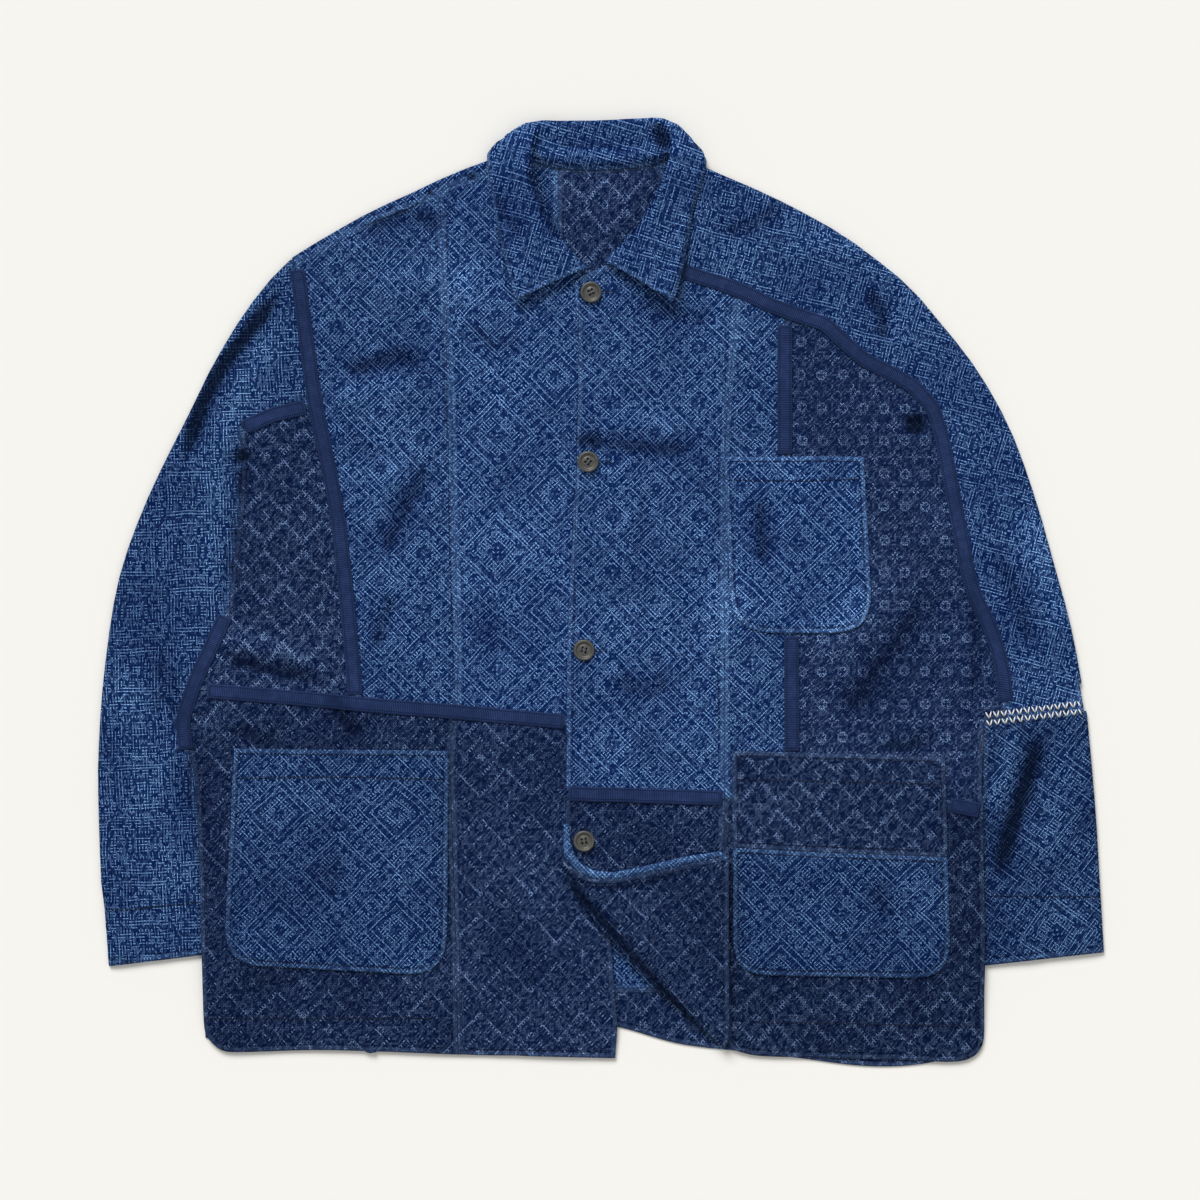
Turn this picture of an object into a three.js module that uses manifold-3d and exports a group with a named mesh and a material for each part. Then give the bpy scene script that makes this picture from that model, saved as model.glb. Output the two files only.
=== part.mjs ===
// Patched boro jacket, buttoned and laid flat on its back.
// Millimetres, +Z up, +X to the viewer's right, +Y towards the collar, floor at z = 0.
// "Right" and "left" are the wearer's, so the right half lies on the -X side.
import * as THREE from 'three';
import { mergeVertices } from 'three/addons/utils/BufferGeometryUtils.js';
import Module from 'manifold-3d';

// ---------------------------------------------------------------- driving sizes
const CLOTH = 1.6;            // thickness of the jacket cloth
const TAPE = 1.0;             // thickness of the binding tape
const COLLAR_CLOTH = 2.4;     // the collar is two cloths sewn together
const GAP = 0.3;              // air between pieces that touch
const STEP = CLOTH + GAP;     // height of one cloth lying on another
const TAPE_WIDTH = 12.5;
const LOFT = 1.9;             // how far a free upper layer stands off the layer below
const SIDE_FALL = 28;         // width over which an upper layer sinks towards a pressed edge
const ROLL_BULGE = 2.6;       // how far a folded edge bellies out past its layers
const SAMPLE = 24;            // spacing of the points on a curved edge
const BUTTON_RADIUS = 9;
const BUTTON_HEIGHT = 3.4;

// The underarm points, and how the sleeves tuck beneath the body below them.
const UNDERARM = { right: [-349, -138], left: [324, -115] };
const TUCK_WIDTH = 20;        // sleeve hidden beneath the side of the body
const TUCK_START = 52;        // distance below the underarm where the tuck begins
const TUCK_FULL = 110;        // distance below the underarm where it is at its widest
const SLEEVE_STACK = 2 * STEP;
const NECK_LIFT = 3.0;        // the collar's fall passes beneath the back of the neck

const FOLD_RADIUS = 3.2;      // roll of the turned-back corner
const CORNER_LIFT = 3.5;      // how far its free edge stands up

// Lines along which every layer may bend, so that layers stay parallel.
const BEND_X = [-432.3, -393.3, -363.3, -341.3, -318.3, -297.3, -271.3, -104.3, -85.3, 13.7, 49.3, 85.3,
  104.3, 257.3, 283.3, 303.3, 326.7, 347.3, 377.3, 432.3];
const BEND_Y = [-408.3, -391.3, -377.3, -352.3, -323.3, -283.3, -184.3, -161.3, -133.3, -98.3, 277.3,
  296.3, 317.3, 408.3];

// ---------------------------------------------------------------- plan geometry
const point = ([x, y]) => new THREE.Vector2(x, y);
const line = (list) => list.map(point);

function curve(list) {
  const spline = new THREE.SplineCurve(list.map(point));
  return spline.getSpacedPoints(Math.max(2, Math.round(spline.getLength() / SAMPLE)));
}

const reversed = (stretch) => [...stretch].reverse();

// Joins stretches end to end and drops points that repeat.
function join(...stretches) {
  const all = stretches.flat();
  return all.filter((p, i) => p.distanceTo(all[(i + 1) % all.length]) > 0.6);
}

const signedArea = (outline) => THREE.ShapeUtils.area(outline);

// Moves an open run of points sideways, to its left for a positive distance.
function beside(run, distance) {
  return run.map((p, i) => {
    const along = run[Math.min(i + 1, run.length - 1)].clone().sub(run[Math.max(i - 1, 0)]).normalize();
    return new THREE.Vector2(p.x - along.y * distance, p.y + along.x * distance);
  });
}

// Shrinks a closed outline by a seam's clearance; points in `kept` stay where they are.
function clearOutline(outline, distance, kept = new Set()) {
  const turn = Math.sign(signedArea(outline));
  return outline.map((p, i) => {
    if (kept.has(p)) return p;
    const before = p.clone().sub(outline.at(i - 1)).normalize();
    const after = outline[(i + 1) % outline.length].clone().sub(p).normalize();
    const mitre = new THREE.Vector2(-(before.y + after.y), before.x + after.x).normalize();
    const stretch = Math.max(0.4, mitre.x * -before.y + mitre.y * before.x);
    return p.clone().addScaledVector(mitre, (turn * distance) / stretch);
  });
}

// Splits a simple polygon along x = value (axis 'x') or y = value (axis 'y').
function splitPolygon(polygon, axis, value) {
  const other = axis === 'x' ? 'y' : 'x';
  const ring = [];
  polygon.forEach((p, i) => {
    const q = polygon[(i + 1) % polygon.length];
    ring.push({ p, above: p[axis] > value });
    if ((p[axis] > value) !== (q[axis] > value)) {
      const [a, b] = p[axis] < q[axis] ? [p, q] : [q, p];
      const cut = a.clone().lerp(b, (value - a[axis]) / (b[axis] - a[axis]));
      cut[axis] = value;
      ring.push({ p: cut, crossing: true });
    }
  });
  const crossings = ring.map((_, i) => i).filter((i) => ring[i].crossing);
  if (crossings.length === 0) return [polygon];
  crossings.sort((i, j) => ring[i].p[other] - ring[j].p[other]);
  const partner = new Map();
  for (let i = 0; i < crossings.length; i += 2) {
    partner.set(crossings[i], crossings[i + 1]);
    partner.set(crossings[i + 1], crossings[i]);
  }
  const visited = new Set();
  const pieces = [];
  ring.forEach((item, start) => {
    if (item.crossing || visited.has(start)) return;
    const piece = [];
    let at = start;
    do {
      visited.add(at);
      piece.push(ring[at].p);
      if (ring[at].crossing) {
        at = partner.get(at);
        piece.push(ring[at].p);
      }
      at = (at + 1) % ring.length;
    } while (at !== start);
    pieces.push(piece);
  });
  return pieces;
}

const cellIndex = (lines, value) => lines.findIndex((edge, i) => value < lines[i + 1]);

// A bend cell needs no diagonal where every surface given lies flat.
function isFlat(surface, i, j) {
  const [low, right, left, high] = [[i, j], [i + 1, j], [i, j + 1], [i + 1, j + 1]].map(
    ([k, l]) => surface(point([BEND_X[k], BEND_Y[l]])),
  );
  return Math.abs(low + high - right - left) < 1e-6;
}

// The share of a triangle on each side of its bend cell's diagonal, or all of it on a flat cell.
function splitByDiagonal(triangle, surfaces) {
  const centre = triangle.reduce((sum, p) => sum.add(p), new THREE.Vector2()).divideScalar(3);
  const i = cellIndex(BEND_X, centre.x);
  const j = cellIndex(BEND_Y, centre.y);
  if (surfaces.every((surface) => isFlat(surface, i, j))) return [triangle];
  const run = new THREE.Vector2(BEND_X[i + 1] - BEND_X[i], BEND_Y[j + 1] - BEND_Y[j]).normalize();
  const side = (p) => run.x * (p.y - BEND_Y[j]) - run.y * (p.x - BEND_X[i]);
  const halves = [[], []];
  triangle.forEach((p, k) => {
    const q = triangle[(k + 1) % 3];
    const sp = side(p);
    const sq = side(q);
    if (sp > -1e-4) halves[0].push(p);
    if (sp < 1e-4) halves[1].push(p);
    if (Math.abs(sp) > 1e-4 && Math.abs(sq) > 1e-4 && sp * sq < 0) {
      const [a, b, sa, sb] = sp < sq ? [p, q, sp, sq] : [q, p, sq, sp];
      const cut = a.clone().lerp(b, -sa / (sb - sa));
      halves.forEach((half) => half.push(cut));
    }
  });
  return halves.filter((half) => half.length > 2 && Math.abs(signedArea(half)) > 1e-5);
}

// Triangles of an outline, cut along every bend line and the diagonals of bent cells.
function bendTriangles(outline, surfaces) {
  let pieces = [outline];
  BEND_X.forEach((value) => { pieces = pieces.flatMap((piece) => splitPolygon(piece, 'x', value)); });
  BEND_Y.forEach((value) => { pieces = pieces.flatMap((piece) => splitPolygon(piece, 'y', value)); });
  const triangles = [];
  pieces.forEach((piece) => {
    THREE.ShapeUtils.triangulateShape(piece, []).forEach((face) => {
      splitByDiagonal(face.map((k) => piece[k]), surfaces).forEach((half) => {
        for (let k = 1; k + 1 < half.length; k += 1) triangles.push([half[0], half[k], half[k + 1]]);
      });
    });
  });
  return triangles;
}

// ---------------------------------------------------------------- heights of the layers
const smooth = (t) => {
  const s = THREE.MathUtils.clamp(t, 0, 1);
  return s * s * (3 - 2 * s);
};

// A height given at the crossings of the bend lines and straight in between.
function layer(height) {
  const nodes = BEND_X.map((x) => BEND_Y.map((y) => height(x, y)));
  return ({ x, y }) => {
    const i = THREE.MathUtils.clamp(cellIndex(BEND_X, x), 0, BEND_X.length - 2);
    const j = THREE.MathUtils.clamp(cellIndex(BEND_Y, y), 0, BEND_Y.length - 2);
    const u = (x - BEND_X[i]) / (BEND_X[i + 1] - BEND_X[i]);
    const v = (y - BEND_Y[j]) / (BEND_Y[j + 1] - BEND_Y[j]);
    const low = nodes[i][j];
    const high = nodes[i + 1][j + 1];
    return u > v
      ? low + (nodes[i + 1][j] - low) * u + (high - nodes[i + 1][j]) * v
      : low + (high - nodes[i][j + 1]) * u + (nodes[i][j + 1] - low) * v;
  };
}

const SIDE_X = { right: -341, left: 325 };   // the sides of the body
const HEM_Y = -391;
const CUFF_Y = -322;
const insideSide = (x) => Math.min(x - SIDE_X.right, SIDE_X.left - x);
const belowUnderarm = (x, y) => UNDERARM[x < 0 ? 'right' : 'left'][1] - y;

// The neck rests on the collar's fall, and the sides of the body on the tucked sleeves.
const neckRise = (x, y) => NECK_LIFT * smooth((104 - Math.abs(x)) / 18) * smooth((y - 276) / 40);
const sideRise = (x, y) => SLEEVE_STACK * smooth((belowUnderarm(x, y) - 6) / 34)
  * smooth((y + 374) / 50) * smooth((66 - insideSide(x)) / 26);

function frontPuff(x, y) {
  const low = smooth((belowUnderarm(x, y) + 20) / 40);
  const side = 1 - low * (1 - smooth(insideSide(x) / SIDE_FALL));
  return LOFT * side * smooth((y - HEM_Y) / SIDE_FALL);
}

function sleevePuff(x, y) {
  const low = smooth((belowUnderarm(x, y) + 20) / 40);
  return LOFT * (1 - low * (1 - smooth((-insideSide(x) - 22) / 30))) * smooth((y - CUFF_Y + 2) / 40);
}

const FLOOR_LAYER = CLOTH / 2;
const backAt = (x, y) => FLOOR_LAYER + neckRise(x, y) + sideRise(x, y);
const frontAt = (x, y) => backAt(x, y) + STEP + frontPuff(x, y);
const overlapAt = (x) => STEP * smooth((46 - x) / 32);
const leftFrontAt = (x, y) => frontAt(x, y) + overlapAt(x);
const cornerAt = (x, y) => leftFrontAt(x, y) + 2 * FOLD_RADIUS + CORNER_LIFT * smooth((x + y + 270) / 120);

const backLayer = layer(backAt);
const frontLayer = layer(frontAt);
const leftFrontLayer = layer(leftFrontAt);
const cornerLayer = layer(cornerAt);
const sleeveUnderLayer = layer((x, y) => FLOOR_LAYER + neckRise(x, y));
const sleeveLayer = layer((x, y) => FLOOR_LAYER + neckRise(x, y) + STEP + sleevePuff(x, y));
const raised = (surface, height) => (p) => surface(p) + height;
const highest = (...surfaces) => (p) => Math.max(...surfaces.map((surface) => surface(p)));

// ---------------------------------------------------------------- cloth solids
// A sheet of cloth: its middle surface, with the way its outer side looks at each point.
class Sheet {
  constructor() {
    this.points = [];
    this.outward = [];
    this.faces = [];
    this.found = new Map();
  }

  add(key, position, outward) {
    if (!this.found.has(key)) {
      this.found.set(key, this.points.length);
      this.points.push(position);
      this.outward.push(outward);
    }
    return this.found.get(key);
  }

  face(a, b, c) {
    const [p, q, r] = [a, b, c].map((i) => this.points[i]);
    const normal = q.clone().sub(p).cross(r.clone().sub(p));
    const look = [a, b, c].reduce((sum, i) => sum.add(this.outward[i]), new THREE.Vector3());
    this.faces.push(normal.dot(look) > 0 ? [a, b, c] : [a, c, b]);
  }

  // Lays an outline at the heights of a surface, looking up or down, bent where any in `bends` is.
  lay(name, outline, surface, look, bends = [surface]) {
    bendTriangles(outline, bends).forEach((triangle) => {
      const corners = triangle.map((p) => this.add(
        sheetKey(name, p),
        new THREE.Vector3(p.x, p.y, surface(p)),
        new THREE.Vector3(0, 0, look),
      ));
      if (new Set(corners).size === 3) this.face(...corners);
    });
  }

  // Edges that belong to one face only, in that face's direction.
  border() {
    const used = new Set();
    this.faces.forEach(([a, b, c]) => [[a, b], [b, c], [c, a]].forEach(([p, q]) => used.add(`${p},${q}`)));
    return [...used].map((key) => key.split(',').map(Number)).filter(([p, q]) => !used.has(`${q},${p}`));
  }

  // The closed solid with this middle surface.
  solid(thickness) {
    const count = this.points.length;
    const positions = [];
    [0.5, -0.5].forEach((side) => this.points.forEach((p, i) => {
      positions.push(...p.clone().addScaledVector(this.outward[i], side * thickness).toArray());
    }));
    const index = [];
    this.faces.forEach(([a, b, c]) => index.push(a, b, c, a + count, c + count, b + count));
    this.border().forEach(([a, b]) => index.push(b, a, a + count, b, a + count, b + count));
    const geometry = new THREE.BufferGeometry();
    geometry.setAttribute('position', new THREE.Float32BufferAttribute(positions, 3));
    geometry.setIndex(index);
    return geometry;
  }
}

const sheetKey = (name, p) => `${name} ${Math.round(p.x * 1000)} ${Math.round(p.y * 1000)}`;

// A single cloth cut to an outline and laid at the heights of a surface.
function panel(outline, surface, thickness = CLOTH) {
  const sheet = new Sheet();
  sheet.lay('cloth', clearOutline(outline, GAP / 2), surface, 1);
  return sheet.solid(thickness);
}

function distanceToRun(run, p) {
  const segment = new THREE.Line3();
  const at = new THREE.Vector3(p.x, p.y, 0);
  const nearest = new THREE.Vector3();
  let best = { distance: Infinity };
  for (let i = 0; i + 1 < run.length; i += 1) {
    segment.set(new THREE.Vector3(run[i].x, run[i].y, 0), new THREE.Vector3(run[i + 1].x, run[i + 1].y, 0));
    const distance = segment.closestPointToPoint(at, true, nearest).distanceTo(at);
    if (distance < best.distance) {
      best = { distance, i, share: segment.closestPointToPointParameter(at, true) };
    }
  }
  return best;
}

// A cloth folded over along `fold`: an under layer, a rolled edge and an upper layer.
function foldedCloth({ fold, under, underSurface, over, overSurface, outside, bulge = ROLL_BULGE }) {
  const kept = new Set(fold);
  const sheet = new Sheet();
  const bends = [underSurface, overSurface];
  sheet.lay('under', clearOutline(under, GAP / 2, kept), underSurface, -1, bends);
  sheet.lay('over', clearOutline(over, GAP / 2, kept), overSurface, 1, bends);
  const away = beside(fold, outside).map((p, i) => p.sub(fold[i]).normalize());
  const rolled = (p) => {
    const { i, share } = distanceToRun(fold, p);
    const direction = away[i].clone().lerp(away[i + 1], share).normalize();
    const low = underSurface(p);
    const high = overSurface(p);
    const ring = [sheet.found.get(sheetKey('under', p))];
    [60, 120].forEach((degrees) => {
      const angle = THREE.MathUtils.degToRad(degrees);
      const reach = bulge * Math.sin(angle);
      ring.push(sheet.add(
        `${sheetKey('roll', p)} ${degrees}`,
        new THREE.Vector3(p.x + direction.x * reach, p.y + direction.y * reach,
          (low + high) / 2 - ((high - low) / 2) * Math.cos(angle)),
        new THREE.Vector3(direction.x * Math.sin(angle), direction.y * Math.sin(angle), -Math.cos(angle)),
      ));
    });
    ring.push(sheet.found.get(sheetKey('over', p)));
    return ring;
  };
  const onFold = (i) => distanceToRun(fold, sheet.points[i]).distance < 1e-3;
  sheet.border().filter(([a, b]) => sheet.outward[a].z < 0 && onFold(a) && onFold(b)).forEach(([a, b]) => {
    const [ringA, ringB] = [a, b].map((i) => rolled(sheet.points[i]));
    for (let k = 0; k + 1 < ringA.length; k += 1) {
      sheet.face(ringA[k], ringB[k], ringB[k + 1]);
      sheet.face(ringA[k], ringB[k + 1], ringA[k + 1]);
    }
  });
  return sheet.solid(CLOTH);
}

// A tape of even width along a run of points.
function tapeOutline(run) {
  return [...beside(run, TAPE_WIDTH / 2), ...reversed(beside(run, -TAPE_WIDTH / 2))];
}

const tape = (run, surface) => panel(tapeOutline(run), raised(surface, (CLOTH + TAPE) / 2 + GAP), TAPE);

// ---------------------------------------------------------------- seams and edges
// Each seam is one run of points, shared by the pieces on its two sides.
const NECK_POINT = { right: [-66, 369], left: [62.4, 368] };
const SHOULDER_TIP = [-259, 279];
const PANEL_TOP = [-137, 341.5];
const YOKE_CORNER = [-242.5, 161];
const RING_CORNER = [344, -106];

const neck = {
  frontRight: curve([[-14, 269], [-33, 289], [-51, 316], [-62, 343], NECK_POINT.right]),
  frontLeft: curve([[18, 289], [31, 301], [44, 322], [56, 346], NECK_POINT.left]),
  backRight: curve([NECK_POINT.right, [-54, 364], [-37, 361.5]]),
  backLeft: curve([[-37, 361.5], [-12, 360], [14, 360], [46, 364.5]]),
};

// Folded edges lie inside the silhouette by the bulge of the roll and half the cloth.
const EDGE = ROLL_BULGE + CLOTH / 2;
const foldedEdge = (silhouette) => beside(curve(silhouette), -EDGE);
const shoulderEdge = foldedEdge([[-262, 285.5], [-247, 295], [-198, 323], [-161, 340], [-127, 356],
  [-92, 369], [-72, 374]]);
const rightSleeveEdge = foldedEdge([[-418.6, -316], [-422, -268], [-425, -244], [-427.4, -168],
  [-426.8, -127], [-422, -65], [-410, 11], [-386, 79], [-349, 155], [-332, 190], [-307, 232], [-284, 263],
  [-264.5, 283]]);
const leftSleeveEdge = foldedEdge([[66, 373.5], [83, 364], [141, 339], [180, 319], [213, 299],
  [258, 264], [284, 235], [318, 192], [347, 141], [369, 81], [384, 28], [400, -31], [412.6, -99.5]]);
const leftCuffEdge = foldedEdge([[413, -101], [420, -180], [424, -246], [427.6, -304.4]]);

const seam = {
  shoulderOuter: curve([SHOULDER_TIP, [-247, 286], [-198, 314], [-161, 328], PANEL_TOP]),
  shoulderInner: curve([PANEL_TOP, [-115, 350], [-94, 356], NECK_POINT.right]),
  rightYoke: curve([SHOULDER_TIP, [-252, 230], [-246, 186], YOKE_CORNER]),
  rightArm: curve([YOKE_CORNER, [-225, 75], [-218, 17], [-212, -44], [-208, -94]]),
  rightCross: curve([YOKE_CORNER, [-271, 154], [-297, 144], [-305, 138]]),
  rightTurn: curve([[-305, 138], [-305, 96], [-309, 49], [-313, 20], [-316, -12]]),
  rightUnder: curve([[-316, -12], [-330, -44], [-344, -74], [-347, -82]]),
  rightEnd: curve([[-347, -82], [-354, -104], [-356, -125], UNDERARM.right]),
  waistSide: curve([[-347, -82], [-331, -83], [-260, -89], [-208, -94]]),
  waistMiddle: line([[-208, -94], [-122, -101]]),
  waistCentre: line([[-122, -101], [-30, -109], [11, -113]]),
  rightPanel: curve([PANEL_TOP, [-133, 258], [-127, 168], [-124, 44], [-121, -40], [-122, -101]]),
  rightSkirt: curve([[-122, -101], [-128, -133], [-124, -261], [-121, -392]]),
  leftPanel: curve([[116, 258], [113, 215], [105, 116], [105, -40], [105, -174]]),
  leftSkirt: line([[105, -174], [103, -227], [107, -386]]),
  raglanTop: curve([[18, 289], [45, 282], [70, 273], [84, 268], [116, 258]]),
  raglanMiddle: line([[116, 258], [138, 247], [156, 239]]),
  raglanLow: curve([[156, 239], [191, 228], [208, 211], [226, 196], [253, 183], [275, 167], [286, 145],
    [293, 114], [300, 76], [307, 41], [315, 3], [332, -33], [341, -67], RING_CORNER]),
  ring: line([RING_CORNER, [409.4, -100.2]]),
  ringEnd: line([RING_CORNER, [326, -108], UNDERARM.left]),
  leftStrip: curve([[156, 239], [156, 116], [159, 28], [162, -36], [162, -175]]),
  beltCentre: line([[-29.5, -170], [105, -174]]),
  beltMiddle: line([[105, -174], [162, -175]]),
  beltSide: curve([[162, -175], [203, -176], [293, -179], [324.5, -186]]),
  backCentre: line([[-37, 361.5], [-37, -172]]),
  backArmRight: curve([[-262, 277], [-262, 200], [-285, 100], [-318, 0], [-343, -90], UNDERARM.right]),
  backArmLeft: curve([[46, 364.5], [95, 300], [180, 235], [262, 150], [300, 50], [328, -60],
    UNDERARM.left]),
  backWaistRight: line([[-343, -172], [-37, -172]]),
  backWaistLeft: line([[-37, -172], [323, -172]]),
  backBand: line([[-338, -333], [11, -336], [325, -334]]),
};

const side = {
  rightUpper: line([UNDERARM.right, [-346, -151], [-343, -172]]),
  rightMiddle: line([[-343, -172], [-340.4, -240], [-338, -333]]),
  rightLower: line([[-338, -333], [-337, -376]]),
  leftUpper: line([UNDERARM.left, [323, -172]]),
  leftBelt: line([[323, -172], [324.5, -186]]),
  leftMiddle: line([[324.5, -186], [326, -316], [325, -334]]),
  leftLower: line([[325, -334], [325.5, -386]]),
};

const hem = {
  rightSide: curve([[-337, -376], [-331, -389], [-290, -389.5], [-233, -388], [-121, -392]]),
  rightCentre: line([[-121, -392], [12, -395]]),
  leftSide: curve([[107, -386], [128, -393], [161, -394], [240, -396], [318, -398], [325.5, -386]]),
  back: curve([[-336, -378], [-230, -382], [-121, -376], [-35, -366], [14, -368], [60, -382],
    [106, -388], [161, -394], [232, -402.5], [294, -397], [323, -384]]),
};

const frontEdge = {
  top: line([[-23, 267], [4, 277], [18, 289]]),
  long: curve([[-23, 267], [-22, 251], [-19, 209], [-21, 106], [-28, -31], [-29, -125], [-29.5, -170]]),
  low: line([[-29.5, -170], [-30.5, -225]]),
  hiddenTop: line([[-14, 269], [10, 265], [11, -113]]),
  hiddenLow: line([[11, -113], [7, -273], [12, -346], [14, -366], [12, -393]]),
};

// The tucked inner edge of a sleeve, from the underarm to the cuff.
function innerEdge(run, inward) {
  return run.map((p) => {
    const below = run[0].y - p.y;
    const tuck = (TUCK_WIDTH + 1) * smooth((below - TUCK_START) / (TUCK_FULL - TUCK_START)) - 1;
    return new THREE.Vector2(p.x + inward * tuck, p.y);
  });
}

const inner = {
  right: innerEdge(curve([UNDERARM.right, [-346, -151], [-342.5, -180], [-339, -240], [-338.6, -304]]), 1),
  left: innerEdge(curve([[325.2, -116], [323.6, -160], [324.6, -240], [326, -318]]), -1),
};

const corner = {
  fold: curve([[-31, -228], [-17, -256], [8, -290], [56, -340], [106, -384]]),
  side: line([[109, -377], [108.5, -222]]),
  top: curve([[108.5, -222], [50, -235], [1, -244], [-19, -238], [-31, -228]]),
};

// ---------------------------------------------------------------- pieces
const COLOUR = {
  light: 0x2c5590,
  dark: 0x1c2f55,
  florets: 0x1e2c50,
  tape: 0x1f2f66,
  horn: 0x55504a,
};

const jacket = new THREE.Group();

function piece(name, geometry, color, roughness = 0.95) {
  const mesh = new THREE.Mesh(geometry, new THREE.MeshStandardMaterial({ color, roughness, metalness: 0 }));
  mesh.name = name;
  jacket.add(mesh);
}

function buildBack() {
  piece('back_right', foldedCloth({
    fold: shoulderEdge,
    under: join(shoulderEdge, line([NECK_POINT.right]), neck.backRight, seam.backCentre,
      reversed(seam.backWaistRight), reversed(side.rightUpper), reversed(seam.backArmRight)),
    underSurface: backLayer,
    over: join(shoulderEdge, reversed(seam.shoulderInner), reversed(seam.shoulderOuter)),
    overSurface: frontLayer,
    outside: 1,
  }), COLOUR.light);
  piece('back_left', panel(join(neck.backLeft, seam.backArmLeft, side.leftUpper,
    reversed(seam.backWaistLeft), reversed(seam.backCentre)), backLayer), COLOUR.dark);
  piece('back_lower', panel(join(seam.backWaistRight, seam.backWaistLeft, side.leftBelt, side.leftMiddle,
    reversed(seam.backBand), reversed(side.rightMiddle)), backLayer), COLOUR.light);
  piece('back_hem', panel(join(seam.backBand, line([[323, -384]]), reversed(hem.back)), backLayer),
    COLOUR.dark);
}

function buildRightFront() {
  piece('right_front_side', panel(join(seam.rightYoke, seam.rightArm, seam.waistMiddle,
    reversed(seam.rightPanel), reversed(seam.shoulderOuter)), frontLayer), COLOUR.light);
  piece('right_front_centre', panel(join(reversed(seam.rightPanel), seam.shoulderInner,
    reversed(neck.frontRight), frontEdge.hiddenTop, reversed(seam.waistCentre)), frontLayer), COLOUR.light);
  piece('right_side_patch', panel(join(seam.rightArm, reversed(seam.waistSide),
    reversed(seam.rightUnder), reversed(seam.rightTurn), reversed(seam.rightCross)), frontLayer),
  COLOUR.dark);
  piece('right_lower_side', panel(join(seam.waistSide, seam.waistMiddle, seam.rightSkirt,
    reversed(hem.rightSide), reversed(side.rightLower), reversed(side.rightMiddle),
    reversed(side.rightUpper), reversed(seam.rightEnd)), frontLayer), COLOUR.dark);
  piece('right_lower_centre', panel(join(seam.waistCentre, frontEdge.hiddenLow,
    reversed(hem.rightCentre), reversed(seam.rightSkirt)), frontLayer), COLOUR.dark);
}

function buildLeftFront() {
  piece('left_front_centre', panel(join(frontEdge.top, seam.raglanTop, seam.leftPanel,
    reversed(seam.beltCentre), reversed(frontEdge.long)), leftFrontLayer), COLOUR.light);
  piece('left_front_side', panel(join(seam.raglanMiddle, seam.leftStrip, reversed(seam.beltMiddle),
    reversed(seam.leftPanel)), leftFrontLayer), COLOUR.light);
  piece('left_side_patch', panel(join(seam.raglanLow, seam.ringEnd, side.leftUpper, side.leftBelt,
    reversed(seam.beltSide), reversed(seam.leftStrip)), leftFrontLayer), COLOUR.florets);
  piece('left_lower_centre', foldedCloth({
    fold: corner.fold,
    under: join(corner.fold, reversed(seam.leftSkirt), reversed(seam.beltCentre), frontEdge.low),
    underSurface: leftFrontLayer,
    over: join(corner.fold, corner.side, corner.top),
    overSurface: cornerLayer,
    outside: -1,
    bulge: FOLD_RADIUS,
  }), COLOUR.dark);
  piece('left_lower_side', panel(join(seam.leftSkirt, hem.leftSide, reversed(side.leftLower),
    reversed(side.leftMiddle), reversed(seam.beltSide), reversed(seam.beltMiddle)), leftFrontLayer),
  COLOUR.dark);
}

function buildSleeves() {
  piece('right_sleeve', foldedCloth({
    fold: rightSleeveEdge,
    under: join(rightSleeveEdge, seam.backArmRight, inner.right),
    underSurface: sleeveUnderLayer,
    over: join(rightSleeveEdge, seam.rightYoke, seam.rightCross, seam.rightTurn, seam.rightUnder,
      seam.rightEnd, inner.right),
    overSurface: sleeveLayer,
    outside: 1,
  }), COLOUR.light);
  piece('left_sleeve_upper', foldedCloth({
    fold: leftSleeveEdge,
    under: join(leftSleeveEdge, reversed(seam.ring), seam.ringEnd, reversed(seam.backArmLeft),
      line([NECK_POINT.left])),
    underSurface: sleeveUnderLayer,
    over: join(leftSleeveEdge, reversed(seam.ring), reversed(seam.raglanLow),
      reversed(seam.raglanMiddle), reversed(seam.raglanTop), neck.frontLeft),
    overSurface: sleeveLayer,
    outside: 1,
  }), COLOUR.light);
  const lower = join(leftCuffEdge, reversed(inner.left), reversed(seam.ringEnd), seam.ring);
  piece('left_sleeve_lower', foldedCloth({
    fold: leftCuffEdge, under: lower, underSurface: sleeveUnderLayer,
    over: lower, overSurface: sleeveLayer, outside: 1,
  }), COLOUR.light);
}

function buildTapes() {
  const overFront = highest(leftFrontLayer, sleeveLayer);
  const tapes = {
    tape_right_arm: [curve([[-257.6, 274], [-252, 230], [-246, 186], [-242.5, 161], [-225, 75],
      [-218, 17], [-212, -44], [-208.6, -86]]), highest(frontLayer, sleeveLayer)],
    tape_right_cross: [curve([[-251, 157.5], [-271, 154], [-297, 144], [-303, 140]]),
      highest(frontLayer, sleeveLayer)],
    tape_right_under: [curve([[-319, -20], [-330, -44], [-344, -74], [-354, -104], [-356, -125],
      [-352, -133]]), highest(frontLayer, sleeveLayer)],
    tape_waist: [curve([[-334, -83], [-260, -89], [-208, -94], [-122, -101], [-31.5, -109]]), frontLayer],
    tape_belt_centre: [line([[-27.5, -170], [103, -174]]), leftFrontLayer],
    tape_belt_side: [line([[296, -179.5], [321, -184.5]]), leftFrontLayer],
    tape_strip_upper: [line([[156, 227], [156, 117.5]]), leftFrontLayer],
    tape_strip_lower: [line([[161.6, -37], [162, -134]]), leftFrontLayer],
    tape_raglan: [curve([[58, 277.5], [84, 268], [116, 258], [138, 247], [156, 239], [191, 228],
      [208, 211], [226, 196], [253, 183], [275, 167], [286, 145], [293, 114], [300, 76], [307, 41],
      [315, 3], [332, -33], [341, -67], [343.6, -92]]), overFront],
  };
  Object.entries(tapes).forEach(([name, [run, surface]]) => piece(name, tape(run, surface), COLOUR.tape));
}

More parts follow.
